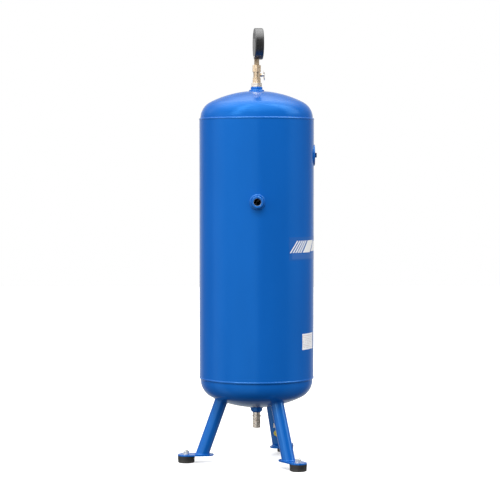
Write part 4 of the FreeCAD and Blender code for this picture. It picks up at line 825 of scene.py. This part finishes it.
# %% Floor
floor_mesh = bpy.data.meshes.new("pale floor")
FLOOR_HALF = 9.0
floor_mesh.from_pydata(
    [(-FLOOR_HALF, -FLOOR_HALF, 0), (FLOOR_HALF, -FLOOR_HALF, 0),
     (FLOOR_HALF, FLOOR_HALF, 0), (-FLOOR_HALF, FLOOR_HALF, 0)], [], [(0, 1, 2, 3)])
floor = bpy.data.objects.new("pale floor", floor_mesh)
scene.collection.objects.link(floor)
floor_finish = Finish("pale floor", Roughness=0.9, Specular_IOR_Level=0.1)
FLOOR_GLOW = 0.36
floor_finish.set("Emission Strength", FLOOR_GLOW)
floor_finish.set("Emission Color", grey(0.9))
floor_finish.set("Base Color", floor_finish.blend(floor_finish.noise(3.0), grey(0.88), grey(0.90)))
floor_mesh.materials.append(floor_finish.material)
floor.visible_glossy = False
floor.visible_diffuse = False
print("floor", 2 * FLOOR_HALF, "m square")

# %% World
world = bpy.data.worlds.new("pale studio")
world.use_nodes = True
scene.world = world
sky = Board(world.node_tree)
direction = sky.node("ShaderNodeTexCoord").of("Generated")
toward = sky.node("ShaderNodeSeparateXYZ", None, {"Vector": direction})
east, north, high = toward.of("X"), toward.of("Y"), toward.of("Z")


def fade(value, low, high, start, end):
    return sky.node(
        "ShaderNodeMapRange", {"clamp": True, "interpolation_type": "SMOOTHSTEP"},
        {"Value": value, "From Min": low, "From Max": high, "To Min": start, "To Max": end})


# Each soft box that the gloss reflects: its bearing from -X round towards +Y, half width and
# soft edge in degrees, then the heights (as the sine of the elevation) where it starts and is
# full, and its strength.
bearing = math.degrees(1.0) * north.math("ARCTAN2", north, east * -1.0)
SOFT_BOXES = (
    (26.0, 24.0, 8.0, -1.0, -0.6, 0.56),
    (98.0, 22.0, 10.0, -1.0, -0.6, 0.50),
    (62.0, 60.0, 8.0, -1.0, -0.6, 0.50),
    (-88.0, 16.0, 12.0, -1.0, -0.6, 0.42),
    (44.0, 7.0, 7.0, 0.18, 0.32, 4.5),
    (-86.0, 12.0, 8.0, 0.20, 0.42, 3.5),
)
mirrored = fade(high, 0.48, 0.97, 0.05, 4.0)
for centre, half, soft, low, full, strength in SOFT_BOXES:
    beside = fade((bearing - centre).size(), half, half + soft, strength, 0.0)
    mirrored = mirrored + beside * fade(high, low, full, 0.0, 1.0)
high_wall = fade(east, 0.2, 0.6, 0.0, 0.45) * fade(high, 0.1, 0.35, 0.0, 1.0)
mirrored = mirrored + high_wall
wall = fade(east, 0.6, 0.98, 0.20, 0.75)
far_side = fade(east, 0.0, 0.25, 0.0, 1.0) * fade(high, 0.1, 0.5, 1.0, 0.0)
mirrored = mirrored * (1.0 - far_side) + wall * far_side
rays = sky.node("ShaderNodeLightPath")
seen, shiny = rays.of("Is Camera Ray"), rays.of("Is Glossy Ray")
backdrop = world.node_tree.nodes["Background"]
backdrop.inputs["Color"].default_value = grey(1.0)
from_below = fade(high, -0.30, 0.20, 0.16, 1.06)
unseen = shiny * mirrored + (1.0 - shiny) * from_below
sky.feed(backdrop.inputs["Strength"], seen + (1.0 - seen) * unseen)
print("world:", len(world.node_tree.nodes), "nodes")

# %% Soft panels
PANEL_TARGET = Vector((0, 0, 0.7))


def panel(name, place, size, watts):
    lamp = bpy.data.lights.new(name, "AREA")
    lamp.shape = "RECTANGLE"
    lamp.size, lamp.size_y = size
    lamp.energy = watts
    holder = bpy.data.objects.new(name, lamp)
    scene.collection.objects.link(holder)
    holder.location = place
    facing = PANEL_TARGET - Vector(place)
    holder.rotation_euler = facing.to_track_quat("-Z", "Y").to_euler()
    holder.visible_camera = False
    holder.visible_glossy = False


panel("high front panel", (-3.2, 0.4, 4.6), (3.0, 2.0), 150.0)
panel("left side panel", (-1.6, 3.4, 1.6), (1.6, 3.2), 55.0)
panel("right side panel", (-1.0, -3.6, 1.8), (1.2, 3.0), 30.0)
panel("back panel", (3.4, 0.0, 3.2), (3.0, 2.0), 60.0)
print("panels ready")

# %% [markdown]
